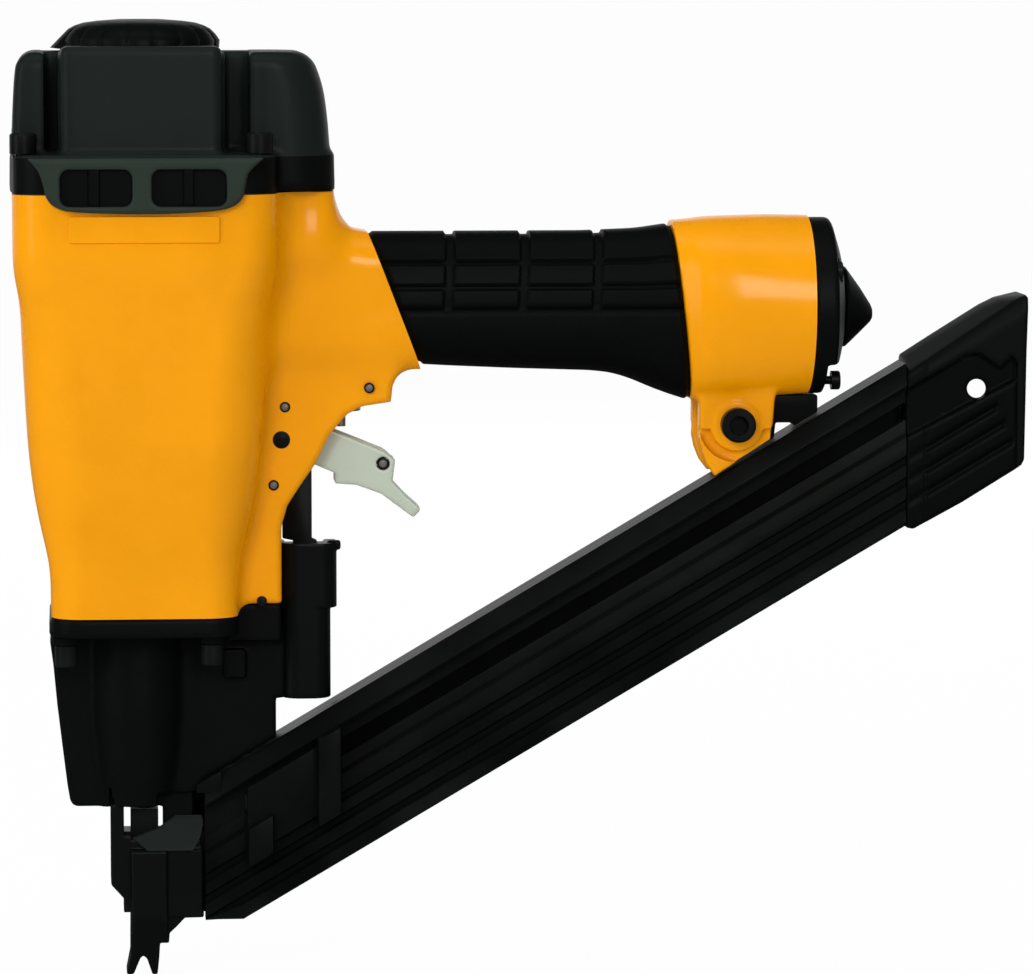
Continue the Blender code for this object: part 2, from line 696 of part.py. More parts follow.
def body_bores():
    """Everything that is bored or milled out of the body."""
    inside = turned([(BORE_R, FLOOR_TOP), (BORE_R, AIR_BOTTOM), (AIR_R, AIR_BOTTOM + FIT),
                     (AIR_R, BARREL_TOP + 1.0)])
    handle = turned([(HANDLE_BORE_R, BORE_R - 5.0), (HANDLE_BORE_R, END_X - SPIGOT - FIT),
                     (SPIGOT_R + FIT, END_X - SPIGOT - FIT + STEP), (SPIGOT_R + FIT, END_X + 1.0)],
                    "X", (0.0, HANDLE_Z))
    cutters = [inside, handle, rod(BLADE_HOLE_R, BARREL_BOTTOM - 1.0, FLOOR_TOP + 1.0)]
    cutters.append(prism(slot_outline(), -SLOT_HALF, SLOT_HALF))
    cutters.append(rod(VALVE_R + FIT, VALVE_BOTTOM - 8.0, HANDLE_Z, "Z", (STEM_X, 0.0)))
    cutters.append(rod(PIVOT_R + FIT, -WEB_HALF - 1.0, WEB_HALF + 1.0, "Y", (PIVOT_X, PIVOT_Z)))
    for place in from_pivot(ROLL_PINS):
        cutters.append(rod(ROLL_PIN_R + FIT, -WEB_HALF - 9.0, WEB_HALF + 9.0, "Y", place, 12))
    for place in cap_bolt_places():
        bottom = BARREL_TOP - CAP_BOLT_GRIP - 1.0
        cutters.append(rod(CAP_BOLT_R + FIT, bottom, BARREL_TOP + 1.0, "Z", place, 12))
    for place in nose_bolt_places():
        top = BARREL_BOTTOM + NOSE_BOLT_GRIP + 1.0
        cutters.append(rod(NOSE_BOLT_R + FIT, BARREL_BOTTOM - 1.0, top, "Z", place, 12))
    for place in end_screw_places():
        cutters.append(rod(END_SCREW_R + FIT, END_X - END_SCREW_GRIP - 1.0, END_X + 1.0, "X", place, 12))
    cutters.append(rod(HANGER_BOLT_R + FIT, -EAR_OUTER - 1.0, EAR_OUTER + 1.0, "Y",
                       (HANGER_BOLT_X, HANGER_BOLT_Z)))
    return cutters


def make_body():
    """The painted casting: barrel, head, web, handle and hanger ears in one."""
    neck_top = BARREL_BOTTOM + NECK_LENGTH
    flare_top = neck_top + FLARE_LENGTH
    waist_top = flare_top + WAIST_LENGTH
    barrel = loft([
        square_loop(BARREL_BOTTOM, NOSE_HALF, NECK_CORNER),
        square_loop(neck_top, NOSE_HALF, NECK_CORNER),
        square_loop(flare_top, FLARE_HALF, (NECK_CORNER + BARREL_CORNER) / 2.0),
        square_loop(waist_top, WAIST_HALF, BARREL_CORNER),
        square_loop(waist_top + SHOULDER_LENGTH, SHOULDER_HALF, BARREL_CORNER),
        square_loop(BARREL_TOP - HEAD_LENGTH, HEAD_HALF, HEAD_CORNER),
        square_loop(BARREL_TOP, HEAD_HALF, HEAD_CORNER),
    ])
    tongue = prism(tongue_outline(), BARREL_TOP - TONGUE_DEPTH, BARREL_TOP, "Z")
    shape = joined(barrel, tongue, handle_shape(), prism(web_outline(), -WEB_HALF, WEB_HALF))
    for side in (-1, 1):
        shape = joined(shape, prism(ear_outline(), side * EAR_INNER, side * EAR_OUTER))
    shape = cut(shape, *body_bores())
    piece("body_housing", shape, "yellow_paint")


def make_grip():
    """Rubber sleeve with finger blocks along the top."""
    flare_start = GRIP_END - GRIP_FLARE_LENGTH
    outer = loft([
        oval(GRIP_START + FIT, GRIP_TOP, GRIP_BOTTOM, GRIP_HALF, GRIP_SLANT_FRONT),
        oval(flare_start, GRIP_TOP, GRIP_BOTTOM, GRIP_HALF),
        oval((flare_start + GRIP_END) / 2.0, GRIP_TOP, GRIP_BOTTOM - GRIP_FLARE * 0.3, GRIP_HALF + 0.5),
        oval(GRIP_END - FIT, GRIP_TOP, GRIP_BOTTOM - GRIP_FLARE, GRIP_HALF + 1.5, GRIP_SLANT_REAR),
    ])
    shape = cut(outer, loft(grip_core(FIT)))
    for groove in range(GRIP_GROOVES):
        start = GRIP_START + GRIP_FIRST_GROOVE - GRIP_SLANT_FRONT * GRIP_RISE + groove * GRIP_BLOCK
        shape = cut(shape, block((start, start + GRIP_GROOVE), (-GRIP_HALF - 5.0, GRIP_HALF + 5.0),
                                 (GRIP_TOP - GRIP_GROOVE_DEPTH, GRIP_TOP + 5.0)))
    piece("grip_sleeve", shape, "black_rubber")


def make_side_bumpers():
    """Rubber pads with two windows each, across the seam of cap and body."""
    top = BARREL_TOP + PAD_RISE
    bottom = BARREL_TOP - PAD_FALL
    outline = rounded([(-PAD_HALF_TOP, top, 0), (-PAD_HALF_WAIST, top - 6.0, 0),
                       (-PAD_HALF_WAIST, BARREL_TOP, 0), (-PAD_HALF_BOTTOM, bottom, 2.0),
                       (PAD_HALF_BOTTOM, bottom, 2.0), (PAD_HALF_WAIST, BARREL_TOP, 0),
                       (PAD_HALF_WAIST, top - 6.0, 0), (PAD_HALF_TOP, top, 0)])
    for side, name in ((-1, "side_bumper_left"), (1, "side_bumper_right")):
        near = side * (HEAD_HALF + FIT)
        far = near + side * PAD_THICKNESS
        shape = prism(outline, near, far)
        for hand in (-1, 1):
            low, high = bottom + PAD_FRAME, top - PAD_FRAME
            window = rounded([(hand * PAD_WINDOW_IN, low, PAD_WINDOW_CORNER),
                              (hand * PAD_WINDOW_OUT, low, PAD_WINDOW_CORNER),
                              (hand * PAD_WINDOW_OUT, high, PAD_WINDOW_CORNER),
                              (hand * PAD_WINDOW_IN, high, PAD_WINDOW_CORNER)])
            shape = cut(shape, prism(window, near - side, far + side))
        piece(name, shape, "grey_rubber")


def make_handle_end():
    """End cap with its screws, the air inlet bush and the inlet plug."""
    near = END_X + FIT
    far = near + END_CAP
    rim = END_R - END_CAP_RIM
    profile = [(BUSH_R + FIT, near - SPIGOT), (SPIGOT_R, near - SPIGOT), (SPIGOT_R, near),
               (END_R, near), (END_R, END_EDGE_X), (rim, far), (BUSH_R + FIT, far)]
    shape = ring(profile, "X", (0.0, HANDLE_Z))
    seat = far - END_SCREW_HEAD
    for place in end_screw_places():
        hole = turned([(END_SCREW_R + FIT, near - 1.0), (END_SCREW_R + FIT, seat - FIT),
                       (END_SCREW_HEAD_R + FIT, seat - FIT + STEP), (END_SCREW_HEAD_R + FIT, far + 1.0)],
                      "X", place, FINE)
        shape = cut(shape, hole)
    piece("end_cap", shape, "black_casting")
    for number, place in enumerate(end_screw_places(), 1):
        screw = turned([(END_SCREW_R, END_X - END_SCREW_GRIP), (END_SCREW_R, seat),
                        (END_SCREW_HEAD_R, seat + STEP), (END_SCREW_HEAD_R, far)], "X", place, FINE)
        piece(f"end_cap_screw_{number}", screw, "black_steel")
    bush = ring([(BUSH_BORE_R, far - BUSH_LENGTH), (BUSH_R, far - BUSH_LENGTH), (BUSH_R, far),
                 (BUSH_BORE_R, far)], "X", (0.0, HANDLE_Z))
    piece("air_inlet_bush", bush, "aluminium")
    foot = far + FIT
    stem = BUSH_BORE_R - FIT
    plug = turned([(stem, foot - PLUG_STEM), (stem, foot), (PLUG_R, foot + STEP), (PLUG_R * 0.92, foot + 1.5),
                   (PLUG_R * 0.53, foot + PLUG_LENGTH * 0.6), (PLUG_R * 0.25, foot + PLUG_LENGTH * 0.93),
                   (PLUG_R * 0.05, foot + PLUG_LENGTH)], "X", (0.0, HANDLE_Z))
    piece("inlet_plug", plug, "black_rubber")


def make_cylinder():
    """Sleeve, bumper, piston with ring and driver blade."""
    sleeve = ring([(SLEEVE_BORE_R, SLEEVE_BOTTOM), (SLEEVE_R, SLEEVE_BOTTOM), (SLEEVE_R, SLEEVE_TOP),
                   (SLEEVE_BORE_R, SLEEVE_TOP)])
    piece("cylinder_sleeve", sleeve, "aluminium")
    bumper_top = SLEEVE_BOTTOM + BUMPER_HEIGHT
    outer = SLEEVE_BORE_R - FIT
    bumper = ring([(BLADE_HOLE_R, SLEEVE_BOTTOM), (outer, SLEEVE_BOTTOM), (outer, bumper_top - 6.0),
                   (outer - 8.0, bumper_top), (BLADE_HOLE_R, bumper_top)])
    piece("piston_bumper", bumper, "seal_rubber")
    running = SLEEVE_BORE_R - SLIDE
    land = running - RING_DEPTH - FIT
    groove_low = PISTON_BOTTOM + (PISTON_HEIGHT - RING_HEIGHT) / 2.0 - FIT
    groove_high = groove_low + RING_HEIGHT + 2.0 * FIT
    socket = BLADE_R + FIT
    piston = ring([(socket, PISTON_BOTTOM), (running, PISTON_BOTTOM), (running, groove_low),
                   (land, groove_low), (land, groove_high), (running, groove_high),
                   (running, PISTON_TOP), (socket, PISTON_TOP)])
    piece("piston", piston, "aluminium")
    packing = ring([(land + FIT, groove_low + FIT), (running, groove_low + FIT), (running, groove_high - FIT),
                    (land + FIT, groove_high - FIT)])
    piece("piston_ring", packing, "seal_rubber")
    piece("driver_blade", rod(BLADE_R, PISTON_TOP - BLADE_LENGTH, PISTON_TOP), "bare_steel")


def make_head_valve():
    """Valve that closes the top of the sleeve, and its spring."""
    disc_r = SLEEVE_R + VALVE_DISC_OVERLAP
    hub_top = CAP_ROOF + CAP_BORE - HEAD_LIFT - 6.0
    valve = turned([(disc_r, HEAD_VALVE_BOTTOM), (disc_r, HEAD_VALVE_TOP),
                    (VALVE_HUB_R, HEAD_VALVE_TOP + STEP), (VALVE_HUB_R, hub_top)])
    piece("head_valve", valve, "black_casting")
    wire = HEAD_SPRING[0]
    low = HEAD_VALVE_TOP + wire + FIT
    high = CAP_ROOF - wire - FIT
    coil("head_valve_spring", HEAD_SPRING, HEAD_SPRING_TURNS, (0.0, 0.0, low), high - low)


def make_gasket():
    """Flat gasket between body and cap."""
    low = BARREL_TOP + FIT
    middle = rod(AIR_R, low - 1.0, low + GASKET + 1.0, "Z", (0.0, 0.0), ROUND)
    shape = cut(prism(head_outline(GASKET_INSET), low, low + GASKET, "Z"), middle)
    for place in cap_bolt_places():
        shape = cut(shape, rod(CAP_BOLT_R + FIT, low - 1.0, low + GASKET + 1.0, "Z", place, 12))
    piece("cap_gasket", shape, "seal_rubber")


def make_cap():
    """Cast cap with a raised box in the middle, and its four bolts."""
    side_top = CAP_TOP - CAP_SIDE_DROP
    left = -HEAD_HALF + CAP_SIDE_INSET
    sides = rounded([(left, -CAP_SIDE_HALF, 6.0), (CAP_SIDE_REACH, -CAP_SIDE_HALF, 10.0),
                     (CAP_SIDE_REACH, CAP_SIDE_HALF, 10.0), (left, CAP_SIDE_HALF, 6.0)])
    box = rounded([(x * CAP_BOX_HALF, y * CAP_BOX_DEPTH, CAP_BOX_CORNER)
                   for x, y in ((-1, -1), (1, -1), (1, 1), (-1, 1))])
    low = CAP_FLANGE_TOP - 1.0
    shape = joined(prism(head_outline(), CAP_BOTTOM, CAP_FLANGE_TOP, "Z"), prism(sides, low, side_top, "Z"),
                   prism(box, low, CAP_TOP, "Z"))
    hub = VALVE_HUB_R + SLIDE
    inside = turned([(AIR_R, CAP_BOTTOM - 1.0), (AIR_R, CAP_ROOF), (hub, CAP_ROOF + STEP),
                     (hub, CAP_ROOF + CAP_BORE)])
    thread = rod(DEFLECTOR_BOLT_R + FIT, CAP_TOP - DEFLECTOR_BOLT_DEPTH - FIT, CAP_TOP + 1.0)
    shape = cut(shape, inside, thread)
    for place in cap_bolt_places():
        pocket = turned([(CAP_BOLT_R + FIT, CAP_BOTTOM - 1.0), (CAP_BOLT_R + FIT, CAP_FLANGE_TOP),
                         (CAP_BOLT_HEAD_R + 1.2, CAP_FLANGE_TOP + STEP), (CAP_BOLT_HEAD_R + 1.2, CAP_TOP)],
                        "Z", place, FINE)
        shape = cut(shape, pocket)
    piece("cylinder_cap", shape, "black_casting")
    seat = CAP_FLANGE_TOP + FIT
    for number, place in enumerate(cap_bolt_places(), 1):
        bolt = turned([(CAP_BOLT_R, BARREL_TOP - CAP_BOLT_GRIP), (CAP_BOLT_R, seat),
                       (CAP_BOLT_HEAD_R, seat + STEP), (CAP_BOLT_HEAD_R, seat + CAP_BOLT_HEAD)],
                      "Z", place, FINE)
        piece(f"cap_bolt_{number}", bolt, "black_steel")


def make_deflector():
    """Fluted disc that turns on the cap to steer the exhaust air, and its bolt."""
    low = CAP_TOP + FIT
    high = low + DEFLECTOR_HEIGHT
    seat = high - DEFLECTOR_BOLT_HEAD - 1.0
    hole = DEFLECTOR_BOLT_R + SLIDE
    recess = DEFLECTOR_BOLT_HEAD_R + SLIDE
    edge = DEFLECTOR_R - DEFLECTOR_FLUTE
    disc = ring([(hole, low), (edge, low), (DEFLECTOR_R, low + DEFLECTOR_HEIGHT * 0.3),
                 (DEFLECTOR_R * 0.92, high - DEFLECTOR_HEIGHT * 0.3), (DEFLECTOR_R * 0.6, high),
                 (recess, high), (recess, seat), (hole, seat)])
    piece("exhaust_deflector", disc, "black_casting", (0.0, 0.0, low))
    seat += FIT
    bolt = turned([(DEFLECTOR_BOLT_R, CAP_TOP - DEFLECTOR_BOLT_DEPTH), (DEFLECTOR_BOLT_R, seat),
                   (DEFLECTOR_BOLT_HEAD_R, seat + STEP), (DEFLECTOR_BOLT_HEAD_R, seat + DEFLECTOR_BOLT_HEAD)],
                  "Z", (0.0, 0.0), FINE)
    piece("deflector_bolt", bolt, "black_steel")


def trigger_outline():
    """Side view of the trigger, from its pivot to the finger hook."""
    eye = PIVOT_EYE_R
    front = [(-eye * 0.4, -eye * 0.9), (-eye * 0.9, -eye * 0.4), (-eye * 0.9, eye * 0.4),
             (-eye * 0.4, eye * 0.9), (eye * 0.5, eye)]
    return from_pivot([*front, *TRIGGER_EDGE, (eye * 0.5, -eye * 0.95)])


def make_trigger():
    """Pressed trigger, its pivot pin and return spring, the pawl and the pawl's pin."""
    outer = SLOT_HALF - FIT
    inner = outer - TRIGGER_WALL
    shape = cut(prism(trigger_outline(), -outer, outer), prism(from_pivot(TRIGGER_HOLLOW), -inner, inner))
    shape = cut(shape, rod(PIVOT_R + SLIDE, -outer - 1.0, outer + 1.0, "Y", (PIVOT_X, PIVOT_Z)),
                rod(PAWL_PIN_R + FIT, -outer - 1.0, outer + 1.0, "Y", (PAWL_X, PAWL_Z), 12))
    pivot = (PIVOT_X, 0.0, PIVOT_Z)
    piece("trigger", shape, "bare_steel", pivot)
    piece("trigger_pivot_pin", rod(PIVOT_R, -WEB_HALF, WEB_HALF, "Y", (PIVOT_X, PIVOT_Z)), "black_steel")
    start = (PIVOT_X, -TRIGGER_SPRING_LENGTH / 2.0, PIVOT_Z)
    coil("trigger_spring", TRIGGER_SPRING, TRIGGER_SPRING_TURNS, start, TRIGGER_SPRING_LENGTH, "Y")
    reach = PAWL_X - GUARD_X
    half = inner - FIT
    eye = PAWL_PIN_R + 2.4
    tip = PAWL_X - reach - 3.0
    lift = PIVOT_Z - PAWL_Z
    outline = [(tip, PAWL_Z + lift * 0.2), (PAWL_X - eye, PAWL_Z - eye * 0.6), (PAWL_X, PAWL_Z - eye),
               (PAWL_X + eye * 0.8, PAWL_Z - eye * 0.5), (PAWL_X + eye * 0.8, PAWL_Z + eye * 0.5),
               (PAWL_X, PAWL_Z + eye), (STEM_X + 3.0, PIVOT_Z - 1.6), (STEM_X - 3.0, PIVOT_Z - 1.6),
               (tip, PAWL_Z + lift * 0.5)]
    hole = rod(PAWL_PIN_R + SLIDE, -half - 1.0, half + 1.0, "Y", (PAWL_X, PAWL_Z), 12)
    pawl = cut(prism(outline, -half, half), hole)
    piece("trigger_pawl", pawl, "bare_steel", (PAWL_X, 0.0, PAWL_Z))
    piece("pawl_pin", rod(PAWL_PIN_R, -outer, outer, "Y", (PAWL_X, PAWL_Z), 12), "black_steel", pivot)


def make_valve():
    """Trigger valve: body, stem and spring, and the roll pins of the web."""
    centre = (STEM_X, 0.0)
    bore = VALVE_R - VALVE_WALL
    top = VALVE_BOTTOM + VALVE_LENGTH
    hole = STEM_R + SLIDE
    floor = VALVE_BOTTOM + VALVE_FLOOR
    body = ring([(hole, VALVE_BOTTOM), (VALVE_R, VALVE_BOTTOM), (VALVE_R, top), (VALVE_VENT_R, top),
                 (VALVE_VENT_R, top - VALVE_WALL), (bore, top - VALVE_WALL), (bore, floor), (hole, floor)],
                "Z", centre, FINE)
    piece("valve_body", body, "aluminium")
    low = VALVE_BOTTOM - STEM_SHOW
    head = low + STEM_LENGTH - STEM_HEAD
    stem = turned([(STEM_R, low), (STEM_R, head), (STEM_HEAD_R, head + STEP),
                   (STEM_HEAD_R, head + STEM_HEAD)], "Z", centre, FINE)
    piece("valve_stem", stem, "bare_steel", (STEM_X, 0.0, low))
    wire = VALVE_SPRING[0]
    start = head + STEM_HEAD + wire + FIT
    stop = top - VALVE_WALL - wire - FIT
    coil("valve_spring", VALVE_SPRING, VALVE_SPRING_TURNS, (STEM_X, 0.0, start), stop - start)
    half = (WEB_HALF, WEB_HALF, WEB_HALF + 1.0)
    for number, (x, z) in enumerate(from_pivot(ROLL_PINS), 1):
        reach = half[number - 1]
        piece(f"roll_pin_{number}", rod(ROLL_PIN_R, -reach, reach, "Y", (x, z), 12), "bare_steel")


def make_nose():
    """Nose housing under the barrel, its bolts and the nail guide below it."""
    flange_top = FLANGE_BOTTOM + FLANGE
    inner = NOSE_PLATE_RIGHT
    front = mag_top(MAG_FRONT)
    fin = [(NOSE_LEFT_TOP, FLANGE_BOTTOM + 1.0), (NOSE_LEFT_BOTTOM, NOSE_BOTTOM),
           (FOOT_RIGHT - 8.0, NOSE_BOTTOM), (FOOT_RIGHT - 8.0, front - 6.0), (MAG_FRONT - 1.0, front + FIT),
           (MAG_FRONT, front + FIT), (inner, mag_top(inner) + FIT), (inner, FLANGE_BOTTOM + 1.0)]
    column = turned([(NOSE_COLUMN_BOTTOM_R, NOSE_BOTTOM), (NOSE_COLUMN_R, NOSE_BOTTOM + NOSE_LENGTH * 0.5),
                     (NOSE_COLUMN_R, FLANGE_BOTTOM + 1.0)], "Z", (NOSE_COLUMN_X, 0.0))
    flange = loft([square_loop(z, NOSE_HALF, NECK_CORNER) for z in (FLANGE_BOTTOM, flange_top)])
    ledge = block((NOSE_HALF - 9.0, inner), (-NOSE_FIN_HALF, NOSE_FIN_HALF), (FLANGE_BOTTOM, flange_top))
    shape = joined(flange, ledge, prism(fin, -NOSE_FIN_HALF, NOSE_FIN_HALF), column)
    shape = cut(shape, rod(DRIVE_R, NOSE_BOTTOM - 1.0, flange_top + 1.0))
    for place in nose_bolt_places():
        hole = rod(NOSE_BOLT_R + FIT, FLANGE_BOTTOM - 1.0, flange_top + 1.0, "Z", place, 12)
        room = rod(NOSE_BOLT_HEAD_R + FIT, FLANGE_BOTTOM - NOSE_BOLT_HEAD - 2.0, FLANGE_BOTTOM, "Z", place)
        shape = cut(shape, hole, room)
    piece("nose_housing", shape, "black_casting")
    head_top = FLANGE_BOTTOM - FIT
    for number, place in enumerate(nose_bolt_places(), 1):
        bolt = turned([(NOSE_BOLT_HEAD_R, head_top - NOSE_BOLT_HEAD), (NOSE_BOLT_HEAD_R, head_top),
                       (NOSE_BOLT_R, head_top + STEP), (NOSE_BOLT_R, BARREL_BOTTOM + NOSE_BOLT_GRIP)],
                      "Z", place, FINE)
        piece(f"nose_bolt_{number}", bolt, "black_steel")
    depth = (-GUIDE_HALF, GUIDE_HALF)
    guide = joined(block((GUIDE_LEFT, GUIDE_RIGHT), depth, (GUIDE_BOTTOM, GUIDE_SHOULDER)),
                   block((-GUIDE_NECK_HALF, GUIDE_NECK_HALF), depth, (GUIDE_SHOULDER - 1.0, GUIDE_TOP)))
    entry = block((0.0, GUIDE_RIGHT + 1.0), (-NAIL_SLOT_HALF, NAIL_SLOT_HALF),
                  (GUIDE_BOTTOM - 1.0, GUIDE_SHOULDER - 4.0))
    guide = cut(guide, rod(DRIVE_R, GUIDE_BOTTOM - 1.0, GUIDE_TOP + 1.0), entry)
    piece("nose_guide", guide, "black_steel")


def make_contact():
    """Contact foot with its fork tip, link strip, rod and spring, and the guard over the rod."""
    outline = [(-TIP_HALF, 0.0), (-TIP_NOTCH_HALF, 0.0), (0.0, TIP_NOTCH), (TIP_NOTCH_HALF, 0.0),
               (TIP_HALF, 0.0), (TIP_HALF, TIP_TOP - 2.0), (FOOT_RIGHT * 0.5, TIP_TOP),
               (FOOT_RIGHT * 0.75, GUIDE_BOTTOM - 3.0), (FOOT_RIGHT, GUIDE_BOTTOM - 2.0),
               (FOOT_RIGHT, FOOT_TOP - FOOT_CHAMFER), (FOOT_RIGHT - 4.0, FOOT_TOP - 1.0),
               (FOOT_LEFT, FOOT_TOP - 1.0), (FOOT_LEFT, GUIDE_BOTTOM + 11.0), (-TIP_HALF, GUIDE_BOTTOM + 1.0)]
    shape = prism(outline, -FOOT_OUT, FOOT_OUT)
    pocket = block((GUIDE_LEFT - FIT, FOOT_RIGHT + 1.0), (-FOOT_IN, FOOT_IN), (TIP_TOP, FOOT_TOP + 1.0))
    shape = cut(shape, pocket, rod(DRIVE_R, -1.0, TIP_TOP + 1.0))
    cheek = FOOT_OUT - FOOT_WALL * 0.4
    for side in (-1, 1):
        low, high = FOOT_TOP - FOOT_CHAMFER, FOOT_TOP
        wedge = [(side * (FOOT_OUT + 1.0), low), (side * FOOT_OUT, low), (side * cheek, high),
                 (side * (FOOT_OUT + 1.0), high)]
        shape = cut(shape, prism(wedge, GUIDE_LEFT, FOOT_RIGHT + 1.0, "X"))
    piece("contact_foot", shape, "black_steel")
    low = FOOT_TOP - FOOT_CHAMFER - LINK_OVERLAP
    arm_right = GUARD_X + ROD_WIDTH / 2.0
    strip = [(LINK_LEFT, low), (LINK_RIGHT, low), (LINK_RIGHT, LINK_ARM_LOW), (arm_right, LINK_ARM_LOW),
             (arm_right, LINK_ARM_HIGH), (LINK_LEFT, LINK_ARM_HIGH)]
    lug = block((GUARD_X - ROD_WIDTH / 2.0, arm_right), (-ROD_HALF * 2.0, LINK_IN + 1.0),
                (LINK_ARM_LOW, LINK_ARM_HIGH))
    piece("contact_link", joined(prism(strip, LINK_IN, LINK_IN + LINK), lug), "black_steel")
    rod_low = LINK_ARM_HIGH + FIT
    bar = block((GUARD_X - ROD_WIDTH / 2.0, GUARD_X + ROD_WIDTH / 2.0), (-ROD_HALF, ROD_HALF),
                (rod_low, rod_low + ROD_LENGTH))
    piece("contact_rod", bar, "black_steel")
    right = GUARD_LEFT + GUARD_WIDTH
    inside_left = GUARD_LEFT + GUARD_WALL
    inside_right = right - GUARD_WALL
    inside_near = -GUARD_HALF + GUARD_WALL
    channel = rounded([(GUARD_LEFT, -GUARD_HALF, 3.0), (right, -GUARD_HALF, 3.0), (right, GUARD_HALF, 0),
                       (inside_right, GUARD_HALF, 0), (inside_right, inside_near, 0),
                       (inside_left, inside_near, 0), (inside_left, GUARD_HALF, 0),
                       (GUARD_LEFT, GUARD_HALF, 0)])
    half_wall = GUARD_WALL / 2.0
    roof = block((GUARD_LEFT + half_wall, right - half_wall),
                 (-GUARD_HALF + half_wall, GUARD_HALF - half_wall),
                 (GUARD_TOP - GUARD_ROOF, GUARD_TOP - half_wall))
    guard = joined(prism(channel, GUARD_BOTTOM, GUARD_TOP, "Z"), roof)
    guide = block((GUARD_X - ROD_WIDTH / 2.0 - SLIDE, GUARD_X + ROD_WIDTH / 2.0 + SLIDE),
                  (-ROD_HALF - SLIDE, ROD_HALF + SLIDE), (GUARD_TOP - GUARD_ROOF - 1.0, GUARD_TOP + 1.0))
    piece("contact_guard", cut(guard, guide), "black_casting")
    wire = CONTACT_SPRING[0]
    start = LINK_ARM_HIGH + wire + FIT
    stop = GUARD_TOP - GUARD_ROOF - wire - FIT
    coil("contact_spring", CONTACT_SPRING, CONTACT_SPRING_TURNS, (GUARD_X, 0.0, start), stop - start)


def strip_outline(low, high, start, end):
    """Outline between two rises of the magazine, with upright ends."""
    return [(start, mag_z(start, low)), (end, mag_z(end, low)), (end, mag_z(end, high)),
            (start, mag_z(start, high))]


def plate_outline():
    """Side view of a magazine plate, with its lower front corner cut level."""
    return [(MAG_FRONT, MAG_CORNER_Z), (MAG_CORNER_X, MAG_CORNER_Z), (MAG_REAR, mag_z(MAG_REAR, 0.0)),
            (MAG_REAR, mag_top(MAG_REAR)), (MAG_FRONT, mag_top(MAG_FRONT))]


def make_magazine():
    """Two side plates with rails between them, the tail cover, the hanger and its bolt."""
    slot_low = (RECESS_LOW + RECESS_HIGH - FEED_SLOT) / 2.0
    front = MAG_FRONT + 12.0
    for side, name in ((-1, "magazine_left_plate"), (1, "magazine_right_plate")):
        shape = prism(plate_outline(), side * NAIL_SLOT_HALF, side * MAG_HALF)
        out = side * (MAG_HALF + 1.0)
        recess = prism(strip_outline(RECESS_LOW, RECESS_HIGH, front - 6.0, MAG_REAR + 1.0),
                       side * (MAG_HALF - RECESS_DEPTH), out)
        shape = cut(shape, recess)
        for rise in RIDGE_GROOVES:
            groove = prism(strip_outline(rise, rise + RIDGE_GROOVE, front + 8.0, MAG_REAR + 1.0),
                           side * (MAG_HALF - RIDGE_DEPTH), out)
            shape = cut(shape, groove)
        if side < 0:
            slot = prism(strip_outline(slot_low, slot_low + FEED_SLOT, front, MAG_REAR - 6.0), out, 0.0)
            shape = cut(shape, slot)
        piece(name, shape, "black_casting")
    half = NAIL_SLOT_HALF - FIT
    rails = (("magazine_top_rail", MAG_HEIGHT - TOP_RAIL, MAG_HEIGHT),
             ("magazine_bottom_rail", 0.0, BOTTOM_RAIL))
    for name, low, high in rails:
        piece(name, prism(strip_outline(low, high, MAG_CORNER_X, MAG_REAR), -half, half), "black_casting")
    left = MAG_REAR + FIT
    top = mag_top(TAIL_RIGHT - TAIL_FLAT) + TAIL_RISE
    low = mag_z(TAIL_RIGHT, 0.0)
    cover = rounded([(left, mag_z(left, 0.0), 0), (TAIL_RIGHT - 2.0, low, TAIL_CORNER),
                     (TAIL_RIGHT, top, TAIL_CORNER), (TAIL_RIGHT - TAIL_FLAT, top, TAIL_CORNER),
                     (left, mag_top(left) + TAIL_RISE, 0)])
    hole = (TAIL_RIGHT - TAIL_HOLE_INSET, (low + top) / 2.0 - TAIL_CORNER)
    loading = strip_outline(BOTTOM_RAIL, MAG_HEIGHT - TOP_RAIL, left - 1.0, TAIL_RIGHT + 1.0)
    shape = cut(prism(cover, -TAIL_HALF, TAIL_HALF), prism(loading, -NAIL_SLOT_HALF, NAIL_SLOT_HALF),
                rod(TAIL_HOLE_R, -TAIL_HALF - 1.0, TAIL_HALF + 1.0, "Y", hole))
    piece("magazine_tail_cover", shape, "black_casting")
    half = EAR_INNER - FIT
    start = EAR_LEFT + 3.0
    end = start + HANGER_LENGTH
    ceiling = HANDLE_Z - END_R - FIT
    hanger = [(start, mag_top(start) + FIT), (end, mag_top(end) + FIT), (end, ceiling),
              (start + 18.0, ceiling), (start, HANGER_BOLT_Z)]
    place = (HANGER_BOLT_X, HANGER_BOLT_Z)
    shape = cut(prism(hanger, -half, half), rod(HANGER_BOLT_R + FIT, -half - 1.0, half + 1.0, "Y", place))
    piece("magazine_hanger", shape, "black_casting")
    head = -EAR_OUTER - FIT
    bolt = turned([(HANGER_BOLT_HEAD_R, head - HANGER_BOLT_HEAD), (HANGER_BOLT_HEAD_R, head),
                   (HANGER_BOLT_R, head + STEP), (HANGER_BOLT_R, EAR_OUTER)], "Y", place, FINE)
    piece("hanger_bolt", bolt, "black_steel")


